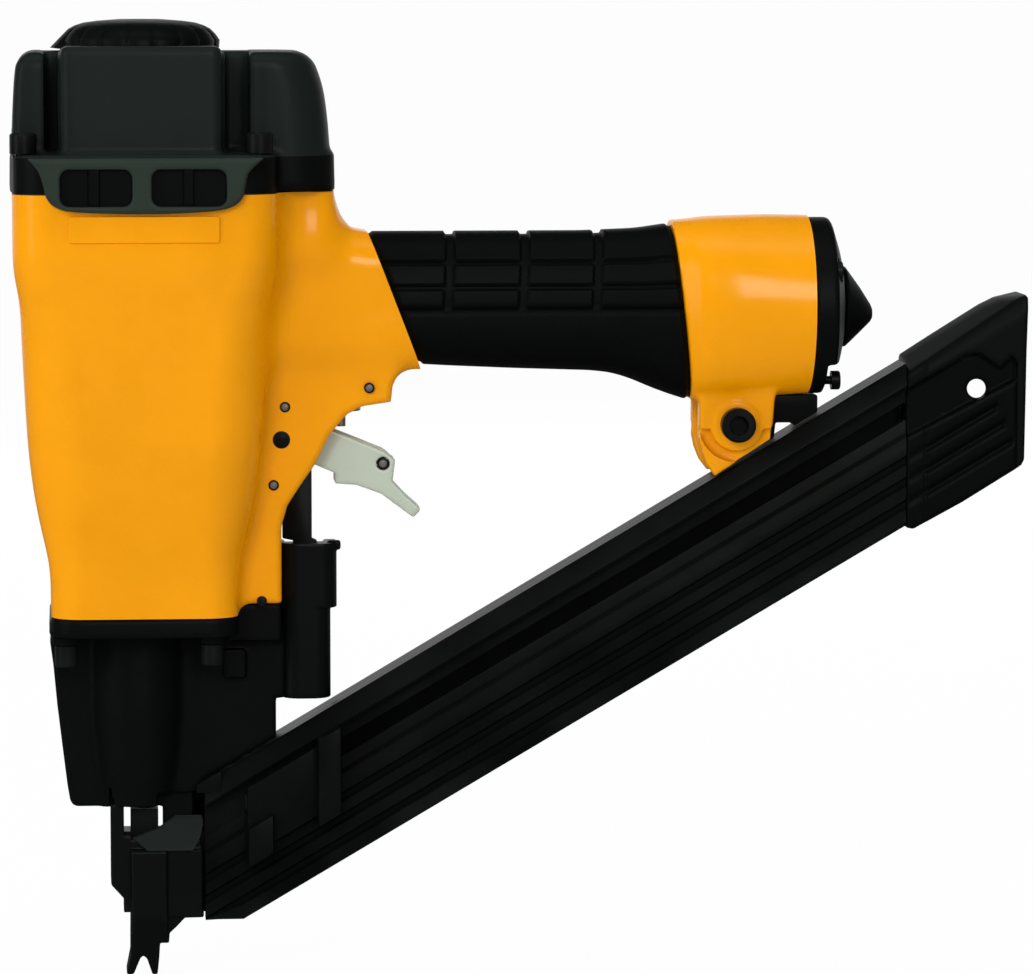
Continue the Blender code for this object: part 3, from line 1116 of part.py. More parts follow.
def make_pusher():
    """Shoe that pushes the nail strip, and its handle on the left side."""
    half = NAIL_SLOT_HALF - SLIDE
    front = MAG_CORNER_X + FIT
    rear = front + PUSHER_LENGTH
    shoe = strip_outline(BOTTOM_RAIL + SLIDE, MAG_HEIGHT - TOP_RAIL - SLIDE, front, rear)
    piece("pusher_shoe", prism(shoe, -half, half), "bare_steel")
    low = (RECESS_LOW + RECESS_HIGH - FEED_SLOT) / 2.0 + SLIDE
    high = low + FEED_SLOT - 2.0 * SLIDE
    near = -MAG_HALF - SLIDE
    stem = prism(strip_outline(low, high, front + 4.0, front + 16.0), near - 1.0, -half - FIT)
    plate = prism(strip_outline(RECESS_LOW - 8.0, RECESS_HIGH - 2.0, front + 1.0, rear - 4.0),
                  near - PUSHER_PLATE, near)
    knob = prism(strip_outline(RECESS_LOW - 8.0, RECESS_HIGH + 2.0, rear - 14.0, rear - 4.0),
                 near - PUSHER_PLATE - PUSHER_KNOB, near - 1.0)
    piece("pusher_handle", joined(plate, stem, knob), "black_casting")


make_body()
make_grip()
make_side_bumpers()
make_handle_end()
make_cylinder()
make_head_valve()
make_gasket()
make_cap()
make_deflector()
make_trigger()
make_valve()
make_nose()
make_contact()
make_magazine()
make_pusher()
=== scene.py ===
# %% [markdown]
# # A compressed-air nailer, dressed for its portrait
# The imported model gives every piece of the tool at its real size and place, but its faces are plain.
# This lesson puts a finished surface on each piece: castings with soft edges, rubber with its blocks,
# pressed steel and worn black paint. Nothing here moves or resizes what the frame holds.

# %% Load the frame
import math

import bmesh
import bpy
import numpy as np
from mathutils import Matrix, Vector


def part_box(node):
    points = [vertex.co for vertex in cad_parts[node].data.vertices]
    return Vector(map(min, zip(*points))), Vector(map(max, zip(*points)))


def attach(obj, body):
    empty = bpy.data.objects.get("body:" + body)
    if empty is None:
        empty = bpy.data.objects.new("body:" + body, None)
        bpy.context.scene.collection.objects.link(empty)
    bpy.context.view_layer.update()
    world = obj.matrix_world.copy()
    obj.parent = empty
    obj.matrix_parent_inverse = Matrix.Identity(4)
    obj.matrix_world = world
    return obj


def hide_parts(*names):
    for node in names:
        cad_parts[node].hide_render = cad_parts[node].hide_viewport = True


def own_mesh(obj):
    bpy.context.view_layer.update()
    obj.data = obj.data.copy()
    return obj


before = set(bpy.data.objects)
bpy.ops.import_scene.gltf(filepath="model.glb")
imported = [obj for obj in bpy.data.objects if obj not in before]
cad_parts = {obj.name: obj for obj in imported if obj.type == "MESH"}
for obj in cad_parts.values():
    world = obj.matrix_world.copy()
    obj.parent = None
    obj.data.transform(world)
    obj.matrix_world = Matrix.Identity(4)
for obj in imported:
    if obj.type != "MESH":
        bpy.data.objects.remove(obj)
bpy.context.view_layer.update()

# %% [markdown]
# ## Working in the tool's own millimetres
# On a drawing of this tool the natural zero is the drive axis and the tips of the contact fork. The frame
# knows both: the driver blade lies on the axis, and the foot's lowest point is the tip. One function turns
# a place on that drawing into a place in the scene, and another reads a node's box the same way.

# %% Tool frame
MM = 0.001
blade_low, blade_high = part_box("driver_blade")
ORIGIN = Vector(((blade_low.x + blade_high.x) / 2, 0.0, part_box("contact_foot")[0].z))
TO_WORLD = Matrix.Translation(ORIGIN) @ Matrix.Scale(MM, 4)


def node_mm(node):
    """Lowest and highest corner of a node, in tool millimetres."""
    low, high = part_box(node)
    return (low - ORIGIN) / MM, (high - ORIGIN) / MM


print("drive axis at X %.4f m, fork tips at Z %.4f m" % (ORIGIN.x, ORIGIN.z))

# %% [markdown]
# ## Camera
# The photograph is a product shot from the left side with a long lens. Level edges seen slightly from above
# and the round handle end bulging to the right place the camera a little to the left of the tool's middle
# and a little above it. The lens follows from the width that fits the picture.

# %% Camera
PICTURE_WIDTH = 392.5          # millimetres across the picture, at the tool's middle plane
CAMERA_DISTANCE = 2100.0
CAMERA_TURN = math.radians(-4.6)
CAMERA_RISE = math.radians(5.4)
LOOK_AT = Vector((141.9, 0.0, 184.3))


def add_object(name, data):
    """A new object in the scene."""
    item = bpy.data.objects.new(name, data)
    bpy.context.scene.collection.objects.link(item)
    return item


camera_data = bpy.data.cameras.new("camera")
camera_data.sensor_fit = "HORIZONTAL"
camera_data.lens = camera_data.sensor_width * CAMERA_DISTANCE / PICTURE_WIDTH
camera_data.clip_start = 0.1
camera = add_object("camera", camera_data)
away = Vector((math.sin(CAMERA_TURN) * math.cos(CAMERA_RISE), -math.cos(CAMERA_TURN) * math.cos(CAMERA_RISE),
               math.sin(CAMERA_RISE)))
camera.location = TO_WORLD @ (LOOK_AT + away * CAMERA_DISTANCE)
camera.rotation_euler = (-away).to_track_quat("-Z", "Y").to_euler()
bpy.context.scene.camera = camera
print("lens %.0f mm, %.2f m away" % (camera_data.lens, CAMERA_DISTANCE * MM))

# %% [markdown]
# ## Shader maths as Python
# A node material is easier to read as a formula. The class below wraps one output socket. Adding or
# multiplying wires adds a Math node, vectors go through Vector Math, and one method adds any other node
# from its type, its settings and the values or wires of its sockets.

# %% Wires


class Wire:
    """One output socket of a node tree, with operators that add the nodes they stand for."""

    def __init__(self, tree, socket=None):
        self.tree = tree
        self.socket = socket

    def add(self, kind, settings=None, sockets=None, output=0):
        """A node of a kind; its settings are set first, then its sockets; gives one output."""
        node = self.tree.nodes.new(kind)
        for name, value in (settings or {}).items():
            setattr(node, name, value)
        for name, value in (sockets or {}).items():
            if isinstance(value, Wire):
                self.tree.links.new(value.socket, node.inputs[name])
            else:
                node.inputs[name].default_value = value
        return None if output is None else Wire(self.tree, node.outputs[output])

    def math(self, operation, first, second):
        kind = "ShaderNodeVectorMath" if self.socket.type == "VECTOR" else "ShaderNodeMath"
        return self.add(kind, {"operation": operation}, {0: first, 1: second})

    def __add__(self, other):
        return self.math("ADD", self, other)

    def __radd__(self, other):
        return self.math("ADD", other, self)

    def __sub__(self, other):
        return self.math("SUBTRACT", self, other)

    def __rsub__(self, other):
        return self.math("SUBTRACT", other, self)

    def __mul__(self, other):
        return self.math("MULTIPLY", self, other)

    def __rmul__(self, other):
        return self.math("MULTIPLY", other, self)

    def mix(self, low, high):
        """A colour between two, by this wire."""
        return self.add("ShaderNodeMix", {"data_type": "RGBA"}, {0: self, 6: low, 7: high}, 2)

    def between(self, low, high):
        """This wire stretched so that low gives 0 and high gives 1, held within those."""
        return self.add("ShaderNodeMapRange", {"clamp": True}, {0: self, 1: low, 2: high})


print("wires ready")

# %% [markdown]
# ## Floor and light
# The tool stands in front of a white sweep: a floor that curves up into a back wall, so no corner shows.
# Its white is partly its own for rays that come from the camera, which leaves a weak shadow under the
# nose. In gloss it is bright only far behind the tool, because a bright floor close by would put a pale rim
# on the black parts.

# %% Floor and backdrop
FLOOR_DROP = 0.4               # millimetres below the fork tips
SWEEP_RADIUS = 1500.0
SWEEP_FRONT = -6000.0
SWEEP_BACK = 5000.0
SWEEP_SIDE = 7000.0
SWEEP_STEPS = 24
WHITE = (1.0, 1.0, 1.0, 1.0)
SWEEP_PAINT = (0.86, 0.86, 0.86, 1.0)
DIM_FLOOR = (0.08, 0.08, 0.08, 1.0)
BRIGHT_DEPTH = (1.2, 3.2)      # metres behind the tool where the sweep turns bright in gloss
CAMERA_GLOW = 0.97             # share of its own white that the camera sees


def sweep_mesh():
    """Floor, quarter round and wall as one sheet."""
    rim = [(SWEEP_FRONT, 0.0)]
    for step in range(SWEEP_STEPS + 1):
        turn = math.radians(90.0) * step / SWEEP_STEPS
        rim.append((SWEEP_BACK + SWEEP_RADIUS * math.sin(turn), SWEEP_RADIUS * (1.0 - math.cos(turn))))
    rim.append((SWEEP_BACK + SWEEP_RADIUS, 2.0 * SWEEP_RADIUS))
    points = [(x, y, z - FLOOR_DROP) for y, z in rim for x in (-SWEEP_SIDE, SWEEP_SIDE)]
    faces = [(2 * row, 2 * row + 1, 2 * row + 3, 2 * row + 2) for row in range(len(rim) - 1)]
    mesh = bpy.data.meshes.new("sweep")
    mesh.from_pydata(points, [], faces)
    mesh.transform(TO_WORLD)
    mesh.shade_smooth()
    return mesh


def ray_kinds(start):
    """Wires that are 1 for rays from the camera and for rays off a gloss."""
    return [start.add("ShaderNodeLightPath", None, None, kind) for kind in ("Is Camera Ray", "Is Glossy Ray")]


def sweep_finish():
    """Matt white, near its full white to the camera, and in gloss where it lies far behind the tool."""
    finish = bpy.data.materials.new("sweep")
    finish.use_nodes = True
    tree = finish.node_tree
    tree.nodes.clear()
    start = Wire(tree)
    paint = start.add("ShaderNodeBsdfDiffuse", None, {"Color": SWEEP_PAINT})
    seen, mirrored = ray_kinds(start)
    where = start.add("ShaderNodeTexCoord", None, None, "Object")
    depth = start.add("ShaderNodeSeparateXYZ", None, {"Vector": where}, "Y")
    bright = seen.math("MAXIMUM", seen, depth.between(*BRIGHT_DEPTH))
    glow = start.add("ShaderNodeEmission", None, {"Color": bright.mix(DIM_FLOOR, WHITE), "Strength": 1.0})
    shown = seen * CAMERA_GLOW + mirrored
    mixed = start.add("ShaderNodeMixShader", None, {0: shown, 1: paint, 2: glow})
    start.add("ShaderNodeOutputMaterial", None, {"Surface": mixed}, None)
    return finish


sweep = add_object("sweep", sweep_mesh())
sweep.data.materials.append(sweep_finish())
print("sweep stands", SWEEP_BACK, "mm behind the tool")

# %% [markdown]
# A large soft lamp from the front left lights the castings. It is kept out of the gloss, or flat black
# faces would mirror it and turn grey. A weaker lamp at the left and one above do show in gloss and draw the
# edges, and a tall narrow one on the right, seen in gloss alone, gives the gleam on the paint. A last one
# lights the far side.

# %% Lamps and sky
LAMPS = (
    # name, place in tool millimetres, width and height in metres, watts, lights matt faces, shows in gloss
    ("key", (-800.0, -2400.0, 1300.0), (0.9, 0.9), 31.5, True, False),
    ("left", (-1500.0, -900.0, 700.0), (0.7, 1.2), 6.0, True, True),
    ("top", (200.0, -200.0, 1900.0), (1.6, 1.0), 9.0, True, False),
    ("edge", (100.0, -300.0, 1900.0), (1.6, 0.6), 2.2, True, True),
    ("gleam", (570.0, -2600.0, 1150.0), (0.3, 1.0), 16.0, False, True),
    ("back", (700.0, 2300.0, 1100.0), (1.2, 1.2), 22.0, True, False),
)
for name, spot, (wide, tall), watts, on_matt, in_gloss in LAMPS:
    lamp = bpy.data.lights.new(name, "AREA")
    lamp.shape = "RECTANGLE"
    lamp.size = wide
    lamp.size_y = tall
    lamp.energy = watts
    holder = add_object(name, lamp)
    holder.location = TO_WORLD @ Vector(spot)
    holder.visible_diffuse = on_matt
    holder.visible_glossy = in_gloss
    aim = (TO_WORLD @ LOOK_AT) - holder.location
    holder.rotation_euler = aim.to_track_quat("-Z", "Y").to_euler()

SKY_LEVEL = 0.42
SKY_MIRRORED = 0.05
sky = bpy.data.worlds.new("sky")
sky.use_nodes = True
sky_tree = sky.node_tree
sky_tree.nodes.clear()
start = Wire(sky_tree)
seen, mirrored = ray_kinds(start)
level = seen * (1.0 - SKY_LEVEL) + mirrored * (SKY_MIRRORED - SKY_LEVEL) + SKY_LEVEL
glow = start.add("ShaderNodeBackground", None, {"Color": WHITE, "Strength": level})
start.add("ShaderNodeOutputWorld", None, {"Surface": glow}, None)
bpy.context.scene.world = sky
bpy.context.scene.view_settings.view_transform = "Standard"
print(len(LAMPS), "lamps and a sky of", SKY_LEVEL)

# %% [markdown]
# ## Finishes
# Every finish starts from the same idea: a colour that drifts a little over the piece, a fine grain that
# only tips the light, a roughness that changes in patches, edges that are rubbed lighter where hands and
# benches touch them, and corners painted darker as shade. Blender's pointiness tells a ridge from a flat
# and a flat from a corner. What differs is how much of each a finish gets, so one function mixes them all
# and a short table holds the amounts.

# %% The finish recipe
PATCHES = 28.0                 # patches of colour and gloss to a metre
STREAKS = (90.0, 90.0, 700.0)  # streaks to a metre, along each axis
DRIFT = (0.95, 1.03)           # how far the colour drifts
CORNER_SHADE = 0.55                   # how far corners darken, as painted shade
CORNER_SHADE_COVER = 0.8
RIDGE = (0.515, 0.60)          # pointiness of an edge that is rubbed
CORNER = (0.40, 0.485)         # pointiness of a corner that gets painted shade
GRAIN_HEIGHT = 0.0004
COAT_ROUGHNESS = 0.19


def make_finish(name, colour, rubbed, roughness, grain, wear=0.0, metallic=0.0, shine=0.5, coat=0.0):
    """Procedural finish; grain is (size in millimetres, depth), wear the share of rubbed edges."""
    finish = bpy.data.materials.new(name)
    finish.use_nodes = True
    tree = finish.node_tree
    start = Wire(tree)
    where = start.add("ShaderNodeTexCoord", None, None, "Object")
    size, depth = grain
    patches = start.add("ShaderNodeTexNoise", None, {"Vector": where, "Scale": PATCHES, "Detail": 4.0})
    fine = start.add("ShaderNodeTexNoise", None, {"Vector": where, "Scale": 1.0 / (size * MM), "Detail": 3.0})
    streaks = start.add("ShaderNodeTexNoise", None, {"Vector": where * STREAKS, "Scale": 1.0})
    ridge = start.add("ShaderNodeNewGeometry", None, None, "Pointiness")
    edge = ridge.between(*RIDGE) * patches.between(0.35, 0.65) * wear
    dark, light = (tuple(min(1.0, share * c) for c in colour) + (1.0,) for share in DRIFT)
    # corners are painted darker as shade, found by pointiness
    corner = 1.0 - ridge.between(*CORNER)
    corner_shade = tuple(CORNER_SHADE * c for c in colour[:1]) + tuple(CORNER_SHADE ** 2 * c for c in colour[1:]) + (1.0,)
    base = (corner * CORNER_SHADE_COVER).mix(patches.between(0.3, 0.7).mix(dark, light), corner_shade)
    base = edge.mix(base, rubbed + (1.0,))
    rough = patches.between(0.25, 0.75) * 0.10 + fine * 0.06 + (roughness - 0.08) - edge * 0.10
    height = fine + streaks * 0.15
    bump = start.add("ShaderNodeBump", None, {"Height": height, "Strength": depth, "Distance": GRAIN_HEIGHT})
    shader = tree.nodes["Principled BSDF"]
    for socket, wire in (("Base Color", base), ("Roughness", rough), ("Normal", bump)):
        tree.links.new(wire.socket, shader.inputs[socket])
    for socket, value in (("Metallic", metallic), ("Specular IOR Level", shine), ("Coat Weight", coat),
                          ("Coat Roughness", COAT_ROUGHNESS)):
        shader.inputs[socket].default_value = value
    finish.diffuse_color = colour + (1.0,)
    return finish


print("finish recipe ready")

# %% [markdown]
# The paint is a satin orange-yellow over a cast body. The black castings have a fine powder grain. Rubber
# is duller and coarser. Steel is plated where it moves and blackened where it clamps.

# %% The finishes
AMOUNTS = (
    # name, colour, rubbed colour, roughness, grain, wear, metallic, shine, coat
    ("yellow_paint", (0.86, 0.325, 0.0004), (0.9, 0.37, 0.006), 0.28, (0.9, 0.04), 0.3, 0.0, 0.06, 0.24),
    # black_cap is a paler black; on the foot's facet it is a painted highlight
    ("black_cap", (0.0095, 0.0142, 0.0130), (0.025, 0.034, 0.031), 0.42, (0.35, 0.12), 0.35, 0.0, 0.12),
    ("black_casting", (0.0028, 0.0036, 0.0033), (0.012, 0.015, 0.014), 0.44, (0.35, 0.12), 0.35, 0.0, 0.08),
    ("black_plate", (0.0017, 0.0022, 0.0020), (0.012, 0.015, 0.014), 0.40, (0.3, 0.10), 0.4, 0.0, 0.07),
    ("black_rubber", (0.0022, 0.0026, 0.0026), (0.006, 0.007, 0.007), 0.50, (0.5, 0.20), 0.3, 0.0, 0.08),
    ("grey_rubber", (0.022, 0.032, 0.0245), (0.05, 0.065, 0.055), 0.46, (0.4, 0.15), 0.5, 0.0, 0.13),
    ("trigger_metal", (0.54, 0.61, 0.50), (0.68, 0.71, 0.66), 0.42, (0.5, 0.10), 0.3, 0.15),
    ("bare_steel", (0.58, 0.58, 0.56), (0.75, 0.75, 0.74), 0.34, (0.4, 0.10), 0.3, 1.0),
    ("black_steel", (0.0032, 0.0040, 0.0038), (0.02, 0.024, 0.022), 0.38, (0.35, 0.12), 0.5, 0.0, 0.13),
    ("pin_steel", (0.22, 0.21, 0.19), (0.40, 0.39, 0.37), 0.42, (0.4, 0.10), 0.3, 0.6),
    ("aluminium", (0.60, 0.60, 0.61), (0.75, 0.75, 0.75), 0.36, (0.4, 0.12), 0.2, 1.0),
    ("seal_rubber", (0.010, 0.010, 0.010), (0.02, 0.02, 0.02), 0.70, (0.5, 0.2)),
)
FINISHES = {amounts[0]: make_finish(*amounts) for amounts in AMOUNTS}
print("finishes:", ", ".join(FINISHES))

# %% [markdown]
# ## Castings as distances
# A casting is mostly flats and curves that run into each other over a fillet. Cutting and beveling such a
# blend by hand is slow work, so the castings here are written as distances: at every point of a fine grid,
# how far is it to the surface, below zero inside. Two shapes join with a fillet by a soft minimum, and a
# hole is a shape taken away. The skin is then drawn where the distance is zero.

# %% Grid and plane shapes


class Grid:
    """A box of space in small cells, with the X, Y and Z of its points ready to broadcast."""

    def __init__(self, x, y, z, cell):
        self.low = np.array((x[0], y[0], z[0]))
        self.cell = cell
        lines = [np.arange(low, high + cell, cell) for low, high in (x, y, z)]
        self.x, self.y, self.z = np.ix_(*lines)
        self.shape = tuple(len(line) for line in lines)


def corner_distance(p, q):
    """Distance to the square corner where two faces meet, from the distances to both."""
    return np.hypot(np.maximum(p, 0), np.maximum(q, 0)) + np.minimum(np.maximum(p, q), 0)


def rounded_rect(a, b, half_a, half_b, corner):
    """Distance to a rectangle with round corners, about zero."""
    return corner_distance(np.abs(a) - half_a + corner, np.abs(b) - half_b + corner) - corner


def disc(a, b, radius):
    """Distance to a circle about zero."""
    return np.hypot(a, b) - radius


def outline(a, b, points):
    """Distance to a closed outline, negative inside it."""
    nearest = np.inf
    inside = np.zeros(np.broadcast(a, b).shape, bool)
    for (a0, b0), (a1, b1) in zip(points, points[1:] + points[:1]):
        along_a, along_b = a1 - a0, b1 - b0
        reach = ((a - a0) * along_a + (b - b0) * along_b) / (along_a ** 2 + along_b ** 2)
        reach = np.clip(reach, 0, 1)
        nearest = np.minimum(nearest, np.hypot(a - a0 - reach * along_a, b - b0 - reach * along_b))
        if along_b:
            inside ^= ((b0 > b) != (b1 > b)) & (a < along_a * (b - b0) / along_b + a0)
    return np.where(inside, -nearest, nearest)


print("grid and plane shapes ready")

# %% [markdown]
# A plane shape becomes a solid by limiting it along the third axis. Slabs, posts and bores are the three
# that come up again and again: a side view given thickness, a block standing upright, and a round hole.

# %% Solids and joins


def thick(flat, along, low, high, edge=0.0):
    """A plane shape given thickness from low to high, with round edges."""
    rise = np.abs(along - (low + high) / 2) - (high - low) / 2
    return corner_distance(flat + edge, rise + edge) - edge


def slab(g, points, half, edge=0.0):
    """A side view's outline given thickness to both sides of the middle."""
    return thick(outline(g.x, g.z, points), g.y, -half, half, edge)


def post(g, x, half_x, half_y, corner, low, high, edge):
    """An upright block with round corners, between two heights."""
    return thick(rounded_rect(g.x - x, g.y, half_x, half_y, corner), g.z, low, high, edge)


def bore(g, radius, low, high, at=(0.0, 0.0)):
    """An upright round hole between two heights."""
    return thick(disc(g.x - at[0], g.y - at[1], radius), g.z, low, high)


def weld(a, b, fillet):
    """Two shapes in one, with a fillet between them."""
    near = np.maximum(fillet - np.abs(a - b), 0) / fillet
    return np.minimum(a, b) - near * near * fillet / 4


def carve(a, b, edge=0.0):
    """A shape with another taken away, and the rim of the hole rounded."""
    return np.maximum(a, -b) if edge == 0 else -weld(-a, b, edge)


def curve(at, stops, soft):
    """A value that runs through (place, value) stops, with its corners softened over a length."""
    places, values = zip(*stops)
    steps = np.linspace(-soft, soft, 9)
    return sum(np.interp(at + step, places, values) for step in steps) / len(steps)


print("slabs, posts, bores, welds and cuts ready")

# %% [markdown]
# The skin uses the surface-net idea. Every cell that the surface crosses gets one point, at the middle of
# the places where its edges are crossed, and each crossed edge joins the four cells around it with a face.
# It gives even four-sided faces that shade smoothly, which is why it is chosen over marching cubes.

# %% Skin
CORNERS = [(i, j, k) for i in (0, 1) for j in (0, 1) for k in (0, 1)]
CELL_EDGES = [(a, b) for a in CORNERS for b in CORNERS if a < b and sum(np.abs(np.subtract(a, b))) == 1]
AROUND = {0: ((0, -1, -1), (0, 0, -1), (0, 0, 0), (0, -1, 0)),
          1: ((-1, 0, -1), (-1, 0, 0), (0, 0, 0), (0, 0, -1)),
          2: ((-1, -1, 0), (0, -1, 0), (0, 0, 0), (-1, 0, 0))}


def skin(grid, field):
    """Points and four-sided faces of the surface where the field is zero."""
    field = np.broadcast_to(field, grid.shape)
    inside = field < 0
    count = np.subtract(grid.shape, 1)
    mixed = np.zeros(count, np.int8)
    for i, j, k in CORNERS:
        mixed += inside[i:i + count[0], j:j + count[1], k:k + count[2]]
    cells = np.argwhere((mixed > 0) & (mixed < 8))
    total = np.zeros((len(cells), 3))
    hits = np.zeros(len(cells))
    for a, b in CELL_EDGES:
        first = field[tuple((cells + a).T)]
        second = field[tuple((cells + b).T)]
        crossed = (first < 0) != (second < 0)
        share = np.where(crossed, first / np.where(crossed, first - second, 1.0), 0.0)
        total += crossed[:, None] * (np.array(a) + share[:, None] * np.subtract(b, a))
        hits += crossed
    points = grid.low + (cells + total / hits[:, None]) * grid.cell
    number = np.full(count, -1)
    number[tuple(cells.T)] = np.arange(len(cells))
    faces = []
    for axis, around in AROUND.items():
        ahead = np.roll(inside, -1, axis)
        spots = np.argwhere(inside != ahead)
        spots = spots[np.all((spots >= 1) & (spots < count), axis=1)]
        ring = np.stack([number[tuple((spots + step).T)] for step in around], axis=1)
        leaving = inside[tuple(spots.T)]
        faces.append(np.where(leaving[:, None], ring, ring[:, ::-1]))
    return points, np.concatenate(faces)


print("skin ready:", len(CELL_EDGES), "edges to a cell")

# %% [markdown]
# Every finished mesh becomes a piece in the same way: it goes to its place in the scene, takes a finish,
# rides on the body that carries it, and stands for the plain node it covers. Joint faces, such as the seam
# under the cap, are cut flat with a plane so that they stay crisp.


def cut_flat(shape, plane_at, outward):
    """Take away what lies beyond a plane and close the cut."""
    found = bmesh.ops.bisect_plane(shape, geom=shape.verts[:] + shape.edges[:] + shape.faces[:], dist=1e-5,
                                   plane_co=plane_at, plane_no=outward, clear_outer=True)
    rim = [item for item in found["geom_cut"] if isinstance(item, bmesh.types.BMEdge)]
    bmesh.ops.triangle_fill(shape, edges=rim, use_beauty=True, normal=outward)


def piece(name, shape, finish, nodes=(), body="tool_body", sharp=40.0):
    """Make an object of a shape in tool millimetres, ride it on a body and let it stand for nodes."""
    mesh = bpy.data.meshes.new(name)
    shape.to_mesh(mesh)
    shape.free()
    mesh.transform(TO_WORLD)
    mesh.shade_smooth()
    mesh.set_sharp_from_angle(angle=math.radians(sharp))
    mesh.materials.append(FINISHES[finish])
    item = add_object(name, mesh)
    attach(item, body)
    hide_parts(*nodes)
    print("%s: %d faces on %s" % (name, len(mesh.polygons), body))
    return item


def cast(grid, field):
    """A shape drawn from a field."""
    points, faces = skin(grid, field)
    mesh = bpy.data.meshes.new("cast")
    mesh.from_pydata(points.tolist(), [], faces.tolist())
    shape = bmesh.new()
    shape.from_mesh(mesh)
    bpy.data.meshes.remove(mesh)
    return shape


def casting(name, field, spans, cell, finish, nodes, body="tool_body", cuts=()):
    """Cast a field over a box of space, cut its seams flat and make the piece."""
    grid = Grid(*spans, cell)
    shape = cast(grid, field(grid))
    for plane_at, outward in cuts:
        cut_flat(shape, plane_at, outward)
    return piece(name, shape, finish, nodes, body)


print("pieces ready to be made")

# %% [markdown]
# ## Body
# The body of the real tool is one die casting: a barrel that swells towards the square head, a handle root,
# and a flat web that carries the trigger. It could be lofted and beveled, but the fillets between barrel,
# root and web are what the eye reads, so it is cast from distances. The barrel's half width runs through a
# list of stops. The root is a soft slab, the web a thin plate, and each joins with its own fillet.

# %% Body casting
HEAD_TOP = 297.6
BARREL_FOOT = 139.2
HANDLE_Z = 253.0
GRIP_FRONT = 96.0
GRIP_LEAN = 0.385              # lean of the seam between body and grip
BARREL_SIDES = ((135.7, 35.3), (156.6, 35.6), (164.2, 37.2), (171.8, 39.1), (179.4, 40.7), (187.0, 42.2),
                (202.2, 44.1), (217.4, 45.2), (240.2, 46.6), (258.0, 47.5), (269.0, 49.9), (298.0, 50.0))
BARREL_CORNERS = ((135.7, 12.0), (156.0, 12.5), (190.0, 20.0), (250.0, 20.0), (268.0, 14.0))
BARREL_LEAN = ((150.0, 0.4), (260.0, 1.1))
TONGUE = (48.0, 24.0, 8.0)     # middle, half size and corner of the head's tongue over the handle
ROOT = [(25.0, 292.0), (70.0, 292.0), (74.4, 287.2), (79.4, 283.0), (86.0, 281.8), (112.0, 281.8),
        (112.0, 230.0), (25.0, 230.0)]
ROOT_HALF = ((60.0, 22.4), (98.0, 20.7))
WEB = [(25.0, 142.4), (52.0, 142.4), (52.0, 171.4), (54.3, 179.4), (59.3, 187.0), (64.6, 194.6),
       (70.3, 206.0), (76.8, 213.6), (82.5, 216.6), (93.4, 218.2), (94.0, 224.2), (96.8, 230.6),
       (97.0, 250.0), (25.0, 250.0)]
TRIGGER_SLOT = [(45.5, 213.0), (45.5, 196.0), (50.0, 168.0), (92.0, 168.0), (92.0, 213.0)]
WEB_HALF = 17.5
SLOT_HALF = 8.0
VALVE_AT = (75.0, 0.0)
VALVE_BORE = 8.0
SLEEVE_BORE = 30.0
HEAD_BORE = 37.0
BLADE_BORE = 7.0


def tongue_outline(g):
    """Distance to the tongue seen from above."""
    middle, half, corner = TONGUE
    return rounded_rect(g.x - middle, g.y, half, half, corner)


def body_field(g):
    """Distance to the body without its seams."""
    side = curve(g.z, BARREL_SIDES, 6.0)
    lean = curve(g.z, BARREL_LEAN, 6.0)
    barrel = rounded_rect(g.x - lean, g.y, side - lean, side, curve(g.z, BARREL_CORNERS, 8.0))
    tongue = thick(tongue_outline(g), g.z, 270.0, 330.0, 6.0)
    root = slab(g, ROOT, curve(g.x, ROOT_HALF, 8.0), 13.0)
    shape = weld(weld(barrel, weld(tongue, root, 8.0), 14.0), slab(g, WEB, WEB_HALF, 3.0), 6.0)
    shape = carve(shape, slab(g, TRIGGER_SLOT, SLOT_HALF), 1.0)
    shape = carve(shape, bore(g, VALVE_BORE, 200.0, 254.0, VALVE_AT))
    shape = carve(shape, bore(g, SLEEVE_BORE, 158.0, 310.0))
    shape = carve(shape, bore(g, HEAD_BORE, 263.0, 310.0))
    return carve(shape, disc(g.x, g.y, BLADE_BORE))


UP, DOWN = (0.0, 0.0, 1.0), (0.0, 0.0, -1.0)
BODY_SEAMS = (((0.0, 0.0, BARREL_FOOT), DOWN), ((0.0, 0.0, HEAD_TOP), UP),
              ((GRIP_FRONT, 0.0, HANDLE_Z), (1.0, 0.0, GRIP_LEAN)))
casting("body", body_field, ((-54.0, 116.0), (-53.0, 53.0), (132.0, 300.0)), 1.15, "yellow_paint",
        ["body_housing"], cuts=BODY_SEAMS)

# %% [markdown]
# A shallow raised panel sits under each bumper. It is too fine for the body's grid, so it is a thin plate of
# its own with round corners, set into the wall.

# %% Panels
PANEL_SIZE = (55.5, 9.8, 1.0)  # length, height and corner
PANEL_MIDDLE = (0.7, 284.9)
PANEL_FACES = (48.0, 50.9)     # from inside the wall to just outside it


def panel(side):
    """Raised panel on one side of the head."""
    length, height, corner = PANEL_SIZE
    near, far = sorted(side * face for face in PANEL_FACES)
    grid = Grid((-29.0, 31.0), (near - 0.8, far + 0.8), (278.5, 291.5), 0.3)
    flat = rounded_rect(grid.x - PANEL_MIDDLE[0], grid.z - PANEL_MIDDLE[1], length / 2, height / 2, corner)
    return cast(grid, thick(flat, grid.y, near, far, 0.25))


for name, side in (("panel_left", -1), ("panel_right", 1)):
    piece(name, panel(side), "yellow_paint", ["body_housing"])

# %% [markdown]
# Behind the grip the same casting opens into a round end with two ears below it for the magazine's bolt.
# Its section grows from the grip's oval to a full circle. The ears are plates with a raised ring round the
# bolt and a curved hollow under it.

